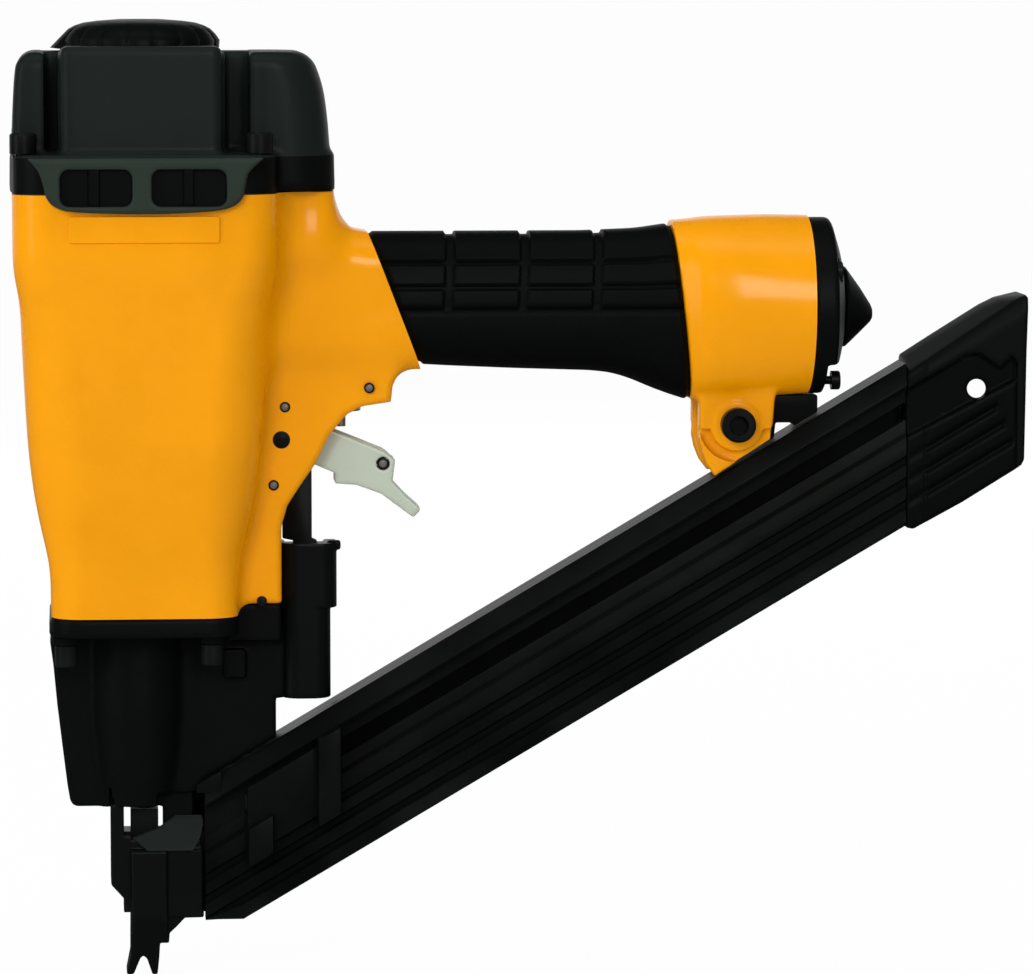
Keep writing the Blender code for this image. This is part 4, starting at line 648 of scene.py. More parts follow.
# %% Handle end
GRIP_REAR = 203.5
REAR_LEAN = 0.11
HANDLE_END = 252.2
EAR = [(210.0, 226.0), (209.9, 203.6), (211.0, 198.4), (212.9, 193.6), (216.0, 189.4), (237.4, 203.0),
       (239.4, 226.0)]
EAR_BOLT = (224.2, 209.0)
EAR_FACES = (8.0, 16.4)
BOSS = (8.8, 17.2)             # radius and outer face of the ring round the bolt
HOLLOW = (12.2, 2.0, 13.4)     # radius, half width and floor of the curved hollow
HOLLOW_TOP = 207.0
EAR_HOLE = 4.3
CAP_SEAT = 24.3
END_WIDE = ((203.0, 25.6), (207.0, 29.8), (213.0, 32.4), (222.0, 33.3), (255.0, 33.5))
END_HIGH = ((203.0, 285.6), (214.0, 287.0), (236.0, 287.6), (255.0, 287.2))
END_LOW = ((203.0, 217.8), (210.0, 217.4), (236.0, 218.6), (255.0, 219.5))
END_POWER = ((203.0, 2.5), (240.0, 2.1), (255.0, 2.0))   # 2 is a true oval, more is squarer
OVAL_REACH = 30.0              # turns a share of the oval into about a distance


def end_field(g):
    """Distance to the round end and its ears."""
    wide = curve(g.x, END_WIDE, 3.0)
    high = curve(g.x, END_HIGH, 4.0)
    low = curve(g.x, END_LOW, 4.0)
    power = curve(g.x, END_POWER, 4.0)
    across = np.abs(g.y) / wide
    upward = np.abs(g.z - (high + low) / 2) / ((high - low) / 2)
    oval = ((across ** power + upward ** power) ** (1 / power) - 1) * OVAL_REACH
    oval = np.maximum(oval, GRIP_REAR - REAR_LEAN * (g.z - HANDLE_Z) - g.x)
    from_bolt = np.hypot(g.x - EAR_BOLT[0], g.z - EAR_BOLT[1])
    out = np.abs(g.y)
    ear = thick(outline(g.x, g.z, EAR), out, *EAR_FACES, 1.6)
    boss = thick(from_bolt - BOSS[0], out, EAR_FACES[0], BOSS[1], 0.8)
    radius, half, floor = HOLLOW
    hollow = np.maximum(thick(np.abs(from_bolt - radius) - half, out, floor, 19.0), g.z - HOLLOW_TOP)
    shape = weld(oval, np.minimum(carve(ear, hollow, 0.8), boss), 3.0)
    shape = carve(shape, thick(from_bolt - EAR_HOLE, g.y, -20.0, 20.0))
    return carve(shape, thick(disc(g.y, g.z - HANDLE_Z, CAP_SEAT), g.x, 246.7, 260.0))


casting("handle_end", end_field, ((198.0, 259.0), (-36.0, 36.0), (186.0, 291.5)), 0.95, "yellow_paint",
        ["body_housing"], cuts=[((HANDLE_END, 0.0, 0.0), (1.0, 0.0, 0.0))])

# %% [markdown]
# ## Grip
# The grip is a rubber sleeve moulded over the handle, with rows of finger blocks along its top. It is drawn
# as one sheet wrapped round the handle: one direction runs along it, the other round its oval section. A
# block mask sinks the grooves, so the blocks are real relief.

# %% Grip sleeve
GRIP_LOWER = ((96.0, 231.6), (109.0, 230.9), (135.0, 229.8), (166.0, 228.8), (174.0, 227.9), (181.0, 225.8),
              (189.0, 222.3), (196.0, 219.6), (204.0, 217.0))
GRIP_UPPER = ((96.0, 281.8), (170.0, 281.8), (190.0, 282.6), (204.0, 284.6))
GRIP_HEIGHT = 26.0             # half height of the sleeve
GRIP_WAIST = 251.0             # height where the sleeve is widest
GRIP_GROOVES = (116.2, 144.4, 172.2)
GROOVE_HALF = 2.1
GRIP_ROWS = ((269.9, 271.6), (260.4, 262.4), (252.4, 254.0))
GROOVE_DEPTH = 1.3
GROOVE_LEAN = 0.06
GRIP_HALF = ((96.0, 20.5), (175.0, 20.5), (203.5, 24.2))
GRIP_POWER = 2.5               # 2 would be a true oval
RIM_DEPTH = 1.0                # rounding at both ends
SKIN_IN, CORE_IN = 3.3, 3.5    # the inner skin and the handle inside it, from the outer face
ALONG_STEPS = 200
CORE_STEPS = 24                # the hidden inner skin needs fewer
ROUND_STEPS = 320


def ramp(value, low, high):
    """Zero below low, one above high and smooth between."""
    share = np.clip((value - low) / (high - low), 0, 1)
    return share * share * (3 - 2 * share)


def grip_points(wall, along, turn):
    """Points of the sleeve, a wall in from its outer face, with the finger blocks on the outer face."""
    x = GRIP_FRONT + 0.3 + (GRIP_REAR - GRIP_FRONT - 0.6) * along
    low = curve(x, GRIP_LOWER, 3.0) + wall
    high = curve(x, GRIP_UPPER, 3.0) - wall
    half = curve(x, GRIP_HALF, 4.0) - wall
    power = 2.0 / GRIP_POWER
    y = half * np.copysign(np.abs(np.cos(turn)) ** power, np.cos(turn))
    upward = np.copysign(np.abs(np.sin(turn)) ** power, np.sin(turn))
    z = GRIP_WAIST + upward * np.where(upward > 0, high - GRIP_WAIST, GRIP_WAIST - low)
    lean = GRIP_LEAN * (1 - along) ** 1.5 + REAR_LEAN * along
    x = x - lean * (z - HANDLE_Z)
    if wall == 0:
        sunk = np.zeros(np.broadcast(x, z).shape)
        level = GRIP_WAIST + upward * (GRIP_UPPER[0][1] - GRIP_WAIST) + 0.0 * x
        upper = ramp(level, 251.8, 252.6)
        for middle in GRIP_GROOVES:
            off_line = np.abs(x - middle - GROOVE_LEAN * (z - 282.0))
            sunk = np.maximum(sunk, ramp(-off_line, -GROOVE_HALF, -GROOVE_HALF + 0.8))
        for row_low, row_high in GRIP_ROWS:
            off_line = np.abs(level - (row_low + row_high) / 2)
            reach = (row_high - row_low) / 2
            sunk = np.maximum(sunk, ramp(-off_line, -reach - 0.5, -reach + 0.5))
        ends = ramp(along, 0.004, 0.018) * ramp(1 - along, 0.004, 0.018)
        sunk = GROOVE_DEPTH * sunk * upper + RIM_DEPTH * (1 - ends)
        steep_y, steep_z = y / half ** 2, (z - HANDLE_Z) / GRIP_HEIGHT ** 2
        steep = np.hypot(steep_y, steep_z)
        y = y - sunk * steep_y / steep
        z = z - sunk * steep_z / steep
    return np.stack(np.broadcast_arrays(x, y, z), axis=-1).reshape(-1, 3)


def loft(loops, joined=False):
    """Closed skin through loops of points; its ends are flat, or joined to each other."""
    shape = bmesh.new()
    rows = [[shape.verts.new(point) for point in loop] for loop in loops]
    for low, high in zip(rows, rows[1:] + (rows[:1] if joined else [])):
        for here in range(len(low)):
            after = (here + 1) % len(low)
            shape.faces.new((low[here], low[after], high[after], high[here]))
    if not joined:
        shape.faces.new(rows[0])
        shape.faces.new(rows[-1])
    bmesh.ops.recalc_face_normals(shape, faces=shape.faces)
    return shape


def grip_rings(wall, along):
    """Rings of the sleeve's section, a wall in from its outer face."""
    turn = np.linspace(0, math.tau, ROUND_STEPS, endpoint=False)[None, :]
    return grip_points(wall, along[:, None], turn).reshape(len(along), ROUND_STEPS, 3).tolist()


outer = grip_rings(0.0, np.linspace(0, 1, ALONG_STEPS))
inner = grip_rings(SKIN_IN, np.linspace(1, 0, CORE_STEPS))
piece("grip", loft(outer + inner, joined=True), "black_rubber", ["grip_sleeve"])

# %% [markdown]
# ## Turned and pressed parts
# Bolts, pins and plates need only a few forms: rings on an axis and an outline pushed straight, both joined
# by the skin that made the grip, and a bevel that softens every sharp edge so that it can catch the light.

# %% Simple forms
SIDES = 48


def place(a, b, along, axis):
    """Point of an outline at a place along an axis."""
    return {"X": (along, a, b), "Y": (a, along, b), "Z": (a, b, along)}[axis]


def soften(shape, width, angle=25.0):
    """Bevel every edge sharper than an angle."""
    sharp = [edge for edge in shape.edges if len(edge.link_faces) == 2
             and edge.calc_face_angle(0.0) > math.radians(angle)]
    bmesh.ops.bevel(shape, geom=sharp, offset=width, segments=2, profile=0.6, affect="EDGES",
                    clamp_overlap=True)
    return shape


def prism(points, low, high, axis="Y", edge=0.0):
    """Outline pushed along an axis, with its edges softened."""
    shape = loft([[place(a, b, along, axis) for a, b in points] for along in (low, high)])
    return soften(shape, edge) if edge else shape


def ring_of(radius, along, axis, centre, six=False):
    """Loop of points round a centre; a six-sided loop has the radius across its flats."""
    points = []
    for step in range(SIDES):
        turn = math.tau * step / SIDES
        out = radius / math.cos(turn % (math.tau / 6) - math.tau / 12) if six else radius
        points.append(place(centre[0] + out * math.cos(turn), centre[1] + out * math.sin(turn), along, axis))
    return points


def turned(profile, axis="Z", centre=(0.0, 0.0)):
    """Turned solid of (radius, place along the axis) steps."""
    return loft([ring_of(radius, along, axis, centre) for radius, along in profile])


def together(*shapes):
    """Several shapes in one."""
    whole = bmesh.new()
    for shape in shapes:
        mesh = bpy.data.meshes.new("part")
        shape.to_mesh(mesh)
        shape.free()
        whole.from_mesh(mesh)
        bpy.data.meshes.remove(mesh)
    return whole


print("prism, turned and soften ready")

# %% [markdown]
# Inside the rubber sleeve runs the handle of the casting, which joins the body to the round end. It is
# hidden, so it is only a skin through a few loops of the sleeve's own section, a wall further in.

# %% Handle core
core = grip_rings(CORE_IN, np.linspace(0, 1, CORE_STEPS))
piece("handle_core", loft(core), "yellow_paint", ["body_housing"])

# %% [markdown]
# ## Cap
# The cap closes the top of the cylinder. On the real tool it is cast in one: a flange, a shouldered block
# with a large round towards the handle, a raised box across the middle, grooves beside the box, and open
# pockets for the four bolts. It is cast from distances like the body, then cut flat along the seam. The
# flange is given a darker finish than the block above it, so the casting is cut in two there.

# %% Cap casting
CAP_FOOT = 298.2
CAP_STEP = 311.2               # darker flange below, paler block above
CAP_LEFT = ((297.0, -48.2), (325.0, -47.6), (340.0, -46.8), (352.0, -45.2))
CAP_RIGHT = ((297.0, 71.8), (325.0, 69.8), (337.0, 68.2), (352.0, 62.6))
CAP_HALF = 31.6
CAP_TOP = 349.8
CAP_BOX = (0.0, 29.7, 47.0, 4.0, 300.0, 352.0, 2.5)   # a post: X, half X, half Y, corner, low, high, edge
GROOVES = ((-35.6, -30.6), (31.2, 40.2))
BOLT_POCKET = 6.3
CAP_BOLT_HOLE = 3.4
DEFLECTOR_SEAT = 36.0
ABOVE = 360.0                  # over everything, for cuts that are open at the top
BELOW = 290.0
CAP_INSIDE = ((HEAD_BORE, BELOW, 303.3), (14.4, BELOW, 324.3), (CAP_BOLT_HOLE, 334.0, ABOVE))


def numbered(stem, count):
    """Names of nodes that differ by a number only."""
    return ["%s_%d" % (stem, number) for number in range(1, count + 1)]


def middles(nodes, a, b):
    """Middles of nodes along two of the axes."""
    return [((low[a] + high[a]) / 2, (low[b] + high[b]) / 2) for low, high in map(node_mm, nodes)]


CAP_BOLTS = middles(numbered("cap_bolt", 4), 0, 1)


def seam_outline(g):
    """Distance to the outline of the seam between body and cap."""
    return weld(rounded_rect(g.x - 1.0, g.y, 49.0, 50.0, 14.0), tongue_outline(g), 12.0)


def cap_field(g):
    """Distance to the cap without its seam."""
    flange = thick(seam_outline(g), g.z, BELOW, 312.3, 1.5)
    left = curve(g.z, CAP_LEFT, 4.0)
    right = curve(g.z, CAP_RIGHT, 5.0)
    corner = np.where(g.x < 10.0, 5.0, 17.0)
    block = rounded_rect(g.x - (left + right) / 2, g.y, (right - left) / 2, CAP_HALF, corner)
    block = thick(block, g.z, 295.0, CAP_TOP, 6.0)
    for low, high in GROOVES:
        valley = rounded_rect(g.x - (low + high) / 2, np.abs(g.y) - 44.0, (high - low) / 2, 29.0, 2.0)
        block = carve(block, thick(valley, g.z, 312.0, ABOVE, 1.5), 1.5)
    shape = weld(flange, np.minimum(block, post(g, *CAP_BOX)), 2.5)
    shape = carve(shape, bore(g, DEFLECTOR_SEAT, 350.2, ABOVE))
    for at in CAP_BOLTS:
        shape = carve(shape, bore(g, BOLT_POCKET, 312.2, ABOVE, at), 1.0)
        shape = carve(shape, disc(g.x - at[0], g.y - at[1], CAP_BOLT_HOLE))
    for step in CAP_INSIDE:
        shape = carve(shape, bore(g, *step))
    return shape


CAP_SPANS = ((-53.0, 76.0), (-53.0, 53.0), (295.0, 355.0))
casting("cap", cap_field, CAP_SPANS, 1.0, "black_cap", ["cylinder_cap"], cuts=[((0.0, 0.0, CAP_STEP), DOWN)])
casting("cap_flange", cap_field, CAP_SPANS, 1.0, "black_casting", ["cylinder_cap"],
        cuts=[((0.0, 0.0, CAP_FOOT), DOWN), ((0.0, 0.0, CAP_STEP), UP)])

# %% [markdown]
# A thin gasket seals the seam. Only its rim shows, as a dark line, so it follows the flange's outline a
# little further in.

# %% Gasket
GASKET_IN = 0.5


def gasket_field(g):
    """Distance to the gasket between body and cap."""
    sheet = thick(seam_outline(g) + GASKET_IN, g.z, HEAD_TOP - 0.3, CAP_FOOT + 0.3)
    return carve(sheet, disc(g.x, g.y, HEAD_BORE))


casting("gasket", gasket_field, ((-50.0, 74.0), (-51.0, 51.0), (HEAD_TOP - 1.2, CAP_FOOT + 1.2)), 0.6,
        "seal_rubber", ["cap_gasket"])

# %% [markdown]
# The exhaust deflector is a fluted disc that can be turned by hand so the spent air blows away from the
# user. Its mouth shows as a lip on one side. A polar grid suits it: each ring is a height, each spoke an
# angle, and the radius carries the flutes and the lip.

# %% Deflector
DEFLECTOR_RINGS = ((3.4, 350.6), (27.0, 350.6), (30.0, 351.0), (30.3, 353.8), (28.8, 356.0), (26.8, 358.0),
                   (24.2, 359.3), (21.0, 360.3), (16.0, 361.0), (8.0, 361.6), (6.6, 361.4), (6.4, 357.3),
                   (3.4, 357.3))
FLUTES = 18
SPOKES = 216
FLUTE_DEPTH = 0.9
MOUTH_REACH = 3.8


def deflector_ring(radius, z):
    """One ring of the deflector, with flutes and the lip of the mouth."""
    turn = np.linspace(0, math.tau, SPOKES, endpoint=False)
    share = ramp(radius, 18.0, 27.0) * ramp(-z, -360.5, -357.0)
    flute = FLUTE_DEPTH * share * np.abs(np.sin(turn * FLUTES / 2)) ** 0.5
    mouth = ramp(-np.abs(turn - math.pi), -0.42, -0.30) * ramp(-z, -355.0, -350.6) * share
    reach = radius - FLUTE_DEPTH * share + flute + MOUTH_REACH * mouth
    return np.stack([reach * np.cos(turn), reach * np.sin(turn), np.full(SPOKES, z)], axis=-1)


rings = [deflector_ring(*step) for step in DEFLECTOR_RINGS]
piece("deflector", loft(rings, joined=True), "black_casting", ["exhaust_deflector"], "deflector_body", 50.0)

# %% [markdown]
# ## Side bumpers
# A rubber pad on each side of the head keeps the paint off the bench when the tool is laid down. Its
# outline has two horns at the top, and two sunk windows with a step in each. The floors and steps of the
# windows are a sheet of darker rubber, as painted shade in the pockets. It is thin, so a fine grid is cheap.

# %% Bumpers
PAD = ((-42.0, 311.3), (-38.0, 306.4), (-36.2, 301.0), (-34.8, 296.4), (-31.4, 293.2), (-24.0, 291.5),
       (0.0, 290.7), (22.0, 291.4), (32.0, 292.9), (36.6, 296.2), (38.0, 301.0), (39.4, 306.0), (45.0, 311.4))
WINDOWS = ((-30.0, -3.6, -17.6), (3.6, 31.0, 17.0))
PAD_MIDDLE = 300.3
PAD_FACES = (50.3, 54.0)


def flowing(points, steps=6):
    """Curve through points, from the first to the last."""
    path = np.array((points[0],) + tuple(points) + (points[-1],))
    curved = []
    for p, q, r, s in zip(path, path[1:], path[2:], path[3:]):
        for t in np.arange(steps) / steps:
            bend = (2 * p - 5 * q + 4 * r - s) * t ** 2 + (3 * q - p - 3 * r + s) * t ** 3
            curved.append(tuple(q + ((r - p) * t + bend) / 2))
    return curved + [points[-1]]


def pad_fields(g, side):
    """Distances to the frame of a bumper and to the sheet behind its windows; side is -1 for left."""
    out = g.y * side
    frame_shape = thick(outline(g.x, g.z, flowing(PAD)), out, *PAD_FACES, 1.5)
    sheet = np.inf
    for low, high, step in WINDOWS:
        window = rounded_rect(g.x - (low + high) / 2, g.z - PAD_MIDDLE, (high - low) / 2, 6.8, 3.4)
        frame_shape = carve(frame_shape, window, 1.2)
        sheet = np.minimum(sheet, thick(window - 1.0, out, 50.4, 51.2))
        sheet = np.minimum(sheet, thick(np.maximum(window, np.abs(g.x - step) - 2.0), out, 50.4, 52.4, 0.4))
    return frame_shape, sheet


for name, node, side in (("bumper_left", "side_bumper_left", -1), ("bumper_right", "side_bumper_right", 1)):
    pad_grid = Grid((-45.0, 45.0), tuple(sorted((side * 49.2, side * 55.2))), (287.0, 313.5), 0.5)
    frame_shape, sheet = pad_fields(pad_grid, side)
    piece(name, cast(pad_grid, frame_shape), "grey_rubber", [node], sharp=55.0)
    # the window floors are darker rubber as painted shade in the pockets
    piece(name + "_back", cast(pad_grid, sheet), "black_rubber", [node])

# %% [markdown]
# ## Rear of the handle
# A cast cap closes the round end with three screws, and a rubber plug guards the thread of the air inlet
# while no coupling is fitted. The cap's rear face is domed, so it too is cast, with round seats for the
# screws. The plug is a plain turned cone.

# %% End cap and plug
END_SCREWS = middles(numbered("end_cap_screw", 3), 1, 2)
DOME = ((0.0, 265.6), (14.0, 265.6), (22.0, 264.2), (34.0, 260.4))
END_RADIUS = 33.5
SPIGOT = 24.0                  # radius of the part that fits into the handle
INLET_BORE = 11.3


def end_cap_field(g):
    """Distance to the cap on the handle's round end."""
    out = np.hypot(g.y, g.z - HANDLE_Z)
    dome = g.x - curve(out, DOME, 3.0)
    shape = -weld(-np.maximum(out - END_RADIUS, HANDLE_END + 0.3 - g.x), -dome, 2.0)
    shape = carve(shape, np.maximum(257.8 - g.x, g.z - 231.8))
    shape = np.minimum(shape, thick(out - SPIGOT, g.x, 247.3, 257.0))
    for y, z in END_SCREWS:
        shape = carve(shape, thick(disc(g.y - y, g.z - z, 4.2), g.x, 261.0, 270.0), 0.8)
        shape = carve(shape, disc(g.y - y, g.z - z, 1.9))
    return carve(shape, out - INLET_BORE)


casting("end_cap_casting", end_cap_field, ((245.0, 268.0), (-35.5, 35.5), (217.0, 289.0)), 0.8,
        "black_casting", ["end_cap"])

PLUG = ((7.0, 257.9, 0.0), (7.0, 265.9, 0.0), (14.8, 265.9, -0.4), (15.4, 266.3, -0.5), (15.1, 267.2, -0.6),
        (8.6, 272.8, -1.8), (3.4, 276.9, -3.0), (1.9, 277.6, -3.2), (0.6, 277.8, -3.2))
plug = loft([ring_of(radius, along, "X", (0.0, HANDLE_Z + sag)) for radius, along, sag in PLUG])
piece("plug", plug, "black_rubber", ["inlet_plug"], sharp=30.0)

# %% [markdown]
# ## Trigger
# The trigger is pressed from sheet and folded into a channel that runs over the valve's pawl. Its side view
# is drawn as an outline and given the slot's width; a smaller outline taken out of the middle leaves the
# folded walls.

# %% Trigger
TRIGGER_HALF = 7.7
SHEET = 2.0                    # thickness of the folded walls
TRIGGER_HOLES = (((52.0, 204.4), 3.7), ((90.7, 194.3), 2.5))   # for the pivot and for the pawl's pin
TRIGGER_SIDE = [(49.8, 199.4), (47.0, 202.2), (47.0, 206.6), (49.8, 209.4), (54.8, 210.0), (70.7, 207.5),
                (91.2, 199.1), (95.4, 195.7), (94.4, 187.6), (99.6, 182.0), (104.6, 177.6), (104.7, 176.2),
                (102.2, 173.7), (99.2, 175.9), (90.0, 182.8), (80.6, 186.2), (72.6, 186.8), (72.6, 190.8),
                (65.4, 193.8), (54.8, 199.1)]
TRIGGER_HOLLOW = [(43.0, 192.4), (66.5, 192.4), (74.6, 193.0), (74.6, 188.8), (80.8, 188.4), (89.2, 185.2),
                  (98.0, 187.9), (98.0, 216.4), (43.0, 216.4)]


def trigger_field(g):
    """Distance to the folded trigger."""
    shape = slab(g, TRIGGER_SIDE, TRIGGER_HALF, 0.9)
    shape = carve(shape, slab(g, TRIGGER_HOLLOW, TRIGGER_HALF - SHEET), 0.5)
    for (x, z), radius in TRIGGER_HOLES:
        shape = carve(shape, disc(g.x - x, g.z - z, radius))
    return shape


casting("trigger_press", trigger_field, ((45.0, 107.0), (-9.0, 9.0), (172.0, 212.0)), 0.55, "trigger_metal",
        ["trigger"], "trigger_body")

# %% [markdown]
# ## Nose
# The nose housing bolts under the barrel and holds the drive channel. It is a round column with a thin fin
# to the left, a flat plate to the right that meets the magazine, and a flange on top. The fillets between
# them matter again, so it is cast.

# %% Nose housing
FIN = [(-34.9, 130.0), (-35.2, 128.0), (-34.0, 119.0), (-32.6, 103.5), (-30.8, 88.0), (-29.0, 73.0),
       (-28.0, 67.0), (-26.8, 65.2), (-25.3, 64.8), (14.0, 64.8), (14.2, 65.0), (25.0, 75.9), (50.0, 90.6),
       (50.0, 105.2), (53.4, 105.6), (53.4, 134.0)]
FIN_HALF = 8.0
COLUMN_X = -2.5
COLUMN = ((63.0, 14.2), (78.0, 16.6), (100.0, 18.5), (140.0, 18.5))
# Posts: X, half X, half Y, corner, low, high, edge
FLANGE = (0.0, 35.3, 35.3, 12.0, 132.0, 138.9, 0.8)
LEDGE = (41.0, 11.0, 14.0, 2.0, 128.0, 142.0, 0.8)
GATE = (12.8, 5.8, 5.9, 1.0, 55.2, 70.0, 0.5)
CLIP = (34.4, 119.0)
BOLT_BOSS, BOLT_FACE, NOSE_BOLT_HOLE = 5.4, 4.8, 2.8
NAIL_BORE = 3.8
RELIEF_TOP = 70.0              # room for the foot when it is pressed up
NOSE_BOLTS = middles(numbered("nose_bolt", 4), 0, 1)


def nose_field(g):
    """Distance to the nose housing."""
    fin = slab(g, FIN, FIN_HALF, 1.5)
    column = thick(disc(g.x - COLUMN_X, g.y, curve(g.z, COLUMN, 5.0)), g.z, 65.2, 133.0, 1.0)
    clip = thick(rounded_rect(g.x - CLIP[0], g.z - CLIP[1], 4.2, 5.6, 1.0), g.y, -10.2, -6.0, 0.6)
    relief = np.maximum(np.maximum(5.0 - g.x, 6.0 - np.abs(g.y)), g.z - RELIEF_TOP)
    below = np.minimum(carve(weld(column, fin, 2.0), relief, 0.8), post(g, *GATE))
    above = np.minimum(post(g, *FLANGE), post(g, *LEDGE))
    shape = np.minimum(weld(below, above, 2.5), clip)
    arm = rounded_rect(g.x + 10.1, np.abs(g.y) - 9.2, 3.0, 2.2, 0.3)
    shape = carve(shape, thick(arm, g.z, 50.0, 77.0))
    for x, y in NOSE_BOLTS:
        shape = weld(shape, thick(disc(g.x - x, g.y - y, BOLT_BOSS), g.z, 128.4, 135.0, 0.5), 1.0)
        shape = carve(shape, bore(g, BOLT_FACE, 110.0, 128.3, (x, y)), 0.6)
        shape = carve(shape, disc(g.x - x, g.y - y, NOSE_BOLT_HOLE))
    return carve(shape, disc(g.x, g.y, NAIL_BORE))


casting("nose", nose_field, ((-38.0, 54.0), (-38.0, 38.0), (53.0, 144.0)), 0.9, "black_casting",
        ["nose_housing"])

# %% [markdown]
# ## Contact foot
# The foot must be pressed on the work before the tool can fire. Two cheeks run beside the nail guide and
# meet in a forked tip that finds the hole of a metal strap. Its upper edge has a steep facet, a piece of its
# own in a paler black as a painted highlight. The outline is pushed through and then hollowed for the guide.

# %% Contact foot
FOOT = [(-7.2, 0.4), (-6.5, 0.0), (-4.4, 0.2), (-1.9, 6.6), (-0.8, 7.6), (0.6, 6.4), (2.6, 0.1), (4.6, 0.0),
        (5.2, 6.0), (5.6, 12.6), (9.0, 12.6), (9.2, 16.4), (12.0, 19.0), (15.0, 22.2), (22.2, 22.3),
        (22.3, 45.0), (21.0, 52.0), (15.0, 54.0), (-7.8, 54.0), (-7.8, 66.0), (-12.8, 66.0), (-12.8, 35.2),
        (-9.2, 31.2), (-5.4, 26.8), (-5.6, 8.0)]
FACET_FOOT = 48.2
FACET_LEAN = 0.46
FACET = [(-4.7, 53.2), (5.4, 56.8), (11.6, 61.2), (21.8, 61.2), (22.3, 58.0), (20.8, 52.6),
         (18.2, FACET_FOOT), (1.2, FACET_FOOT)]
FOOT_DEPTH = ((0.0, 7.0), (14.0, 10.9))
FACET_FRONT = -13.4            # depth of the facet's lower edge
UPRIGHT = (1.6, 6.8)           # middle and half width of the bar over the fork
GUIDE_ROOM = 7.3               # half width of the room for the nail guide


def foot_field(g):
    """Distance to the contact foot."""
    deep = curve(g.z, FOOT_DEPTH, 0.6)
    shape = slab(g, FOOT, deep, 0.5)
    front = curve(g.z, FOOT_DEPTH + ((22.0, 13.3),), 1.0)
    upright = np.maximum(np.abs(g.x - UPRIGHT[0]) - UPRIGHT[1], g.z - FACET_FOOT - 0.5)
    upright = thick(upright, g.y, -front, -6.0, 0.7)
    block = thick(rounded_rect(g.x - 14.0, g.z - 35.6, 7.8, 13.0, 0.8), g.y, -11.7, -9.0, 0.5)
    shape = np.minimum(shape, np.maximum(np.minimum(upright, block), outline(g.x, g.z, FOOT)))
    over = np.minimum(np.minimum(facet_side(g) + 0.8, g.z - FACET_FOOT), g.x + 5.0)
    return hollowed(np.maximum(shape, over), g)


def facet_side(g):
    """Distance in front of the slanting face of the facet."""
    return (FACET_FRONT + FACET_LEAN * (g.z - FACET_FOOT) - g.y) / math.hypot(1.0, FACET_LEAN)


def facet_field(g):
    """Distance to the plate with the slanting face."""
    side = facet_side(g)
    return hollowed(np.maximum(outline(g.x, g.z, FACET), np.maximum(side, -side - 2.0)), g)


def hollowed(shape, g):
    """The shape with room for the guide and the nail."""
    pocket = np.maximum(np.maximum(-8.3 - g.x, np.abs(g.y) - GUIDE_ROOM), 14.0 - g.z)
    pocket = np.minimum(pocket, np.maximum(np.abs(g.y) - GUIDE_ROOM, 53.8 - g.z))
    return carve(carve(shape, pocket), disc(g.x, g.y, NAIL_BORE))


casting("foot", foot_field, ((-14.0, 27.0), (-15.0, 12.5), (-1.5, 68.0)), 0.55, "black_steel",
        ["contact_foot"], "contact_body")
# the facet is part of the foot, given the paler black_cap finish as a painted highlight
casting("foot_facet", facet_field, ((-6.0, 24.0), (-15.0, -5.0), (46.6, 63.0)), 0.4, "black_cap",
        ["contact_foot"], "contact_body")
ROD = [(56.9, 117.5), (65.9, 117.5), (65.9, 164.8), (64.0, 165.6), (64.0, 192.0), (57.5, 192.0),
       (52.9, 188.5), (52.9, 165.6), (56.9, 164.8)]
piece("rod", prism(ROD, -2.0, 2.0, "Y", 0.4), "black_steel", ["contact_rod"], "contact_body")

# %% [markdown]
# The guard is a bent sheet that shields the contact rod and its spring. Seen from above it is a channel
# with round corners, open at the back. A small hook stands out at its top, and a roof with a slot guides
# the rod.

# %% Guard
GUARD_CENTRE = 61.4
GUARD_TOP = 164.2
HOOK = (72.2, 163.2)
GUARD_Y = 4.0                  # the channel's middle lies behind the tool's


def guard_field(g):
    """Distance to the guard."""
    back = g.y - GUARD_Y
    outer = rounded_rect(g.x - GUARD_CENTRE - 0.2, back, 9.3, 13.0, 6.5)
    inner = rounded_rect(g.x - GUARD_CENTRE, back, 7.5, 11.4, 5.0)
    wide = thick(rounded_rect(g.x - 62.8, back, 10.5, 13.0, 6.5), g.z, 139.5, GUARD_TOP, 0.3)
    wall = np.minimum(thick(outer, g.z, 105.2, GUARD_TOP, 0.3), wide)
    wall = np.maximum(np.maximum(wall, -inner), g.y - 9.0)
    roof = thick(np.maximum(outer + 0.6, g.y - 8.2), g.z, 160.2, 163.4)
    hook = thick(rounded_rect(g.x - HOOK[0], g.z - HOOK[1], 2.6, 1.8, 0.8), g.y, -5.0, -2.0, 0.6)
    slot = rounded_rect(g.x - GUARD_CENTRE, g.y, 4.9, 2.4, 0.3)
    return carve(np.minimum(np.minimum(wall, roof), hook), slot)


casting("guard", guard_field, ((51.0, 77.0), (-10.5, 10.5), (104.0, 166.5)), 0.6, "black_steel",
        ["contact_guard"])

# %% [markdown]
# ## Magazine
# The magazine is drawn sheet and extrusion: two long plates with a sunk track, lengthwise ridges, and rails
# between them. It climbs at about thirty degrees. Its own frame has one direction along the lower edge and
# one square to it, called the rise, so a plate is a profile of rises and depths pushed along the slope.

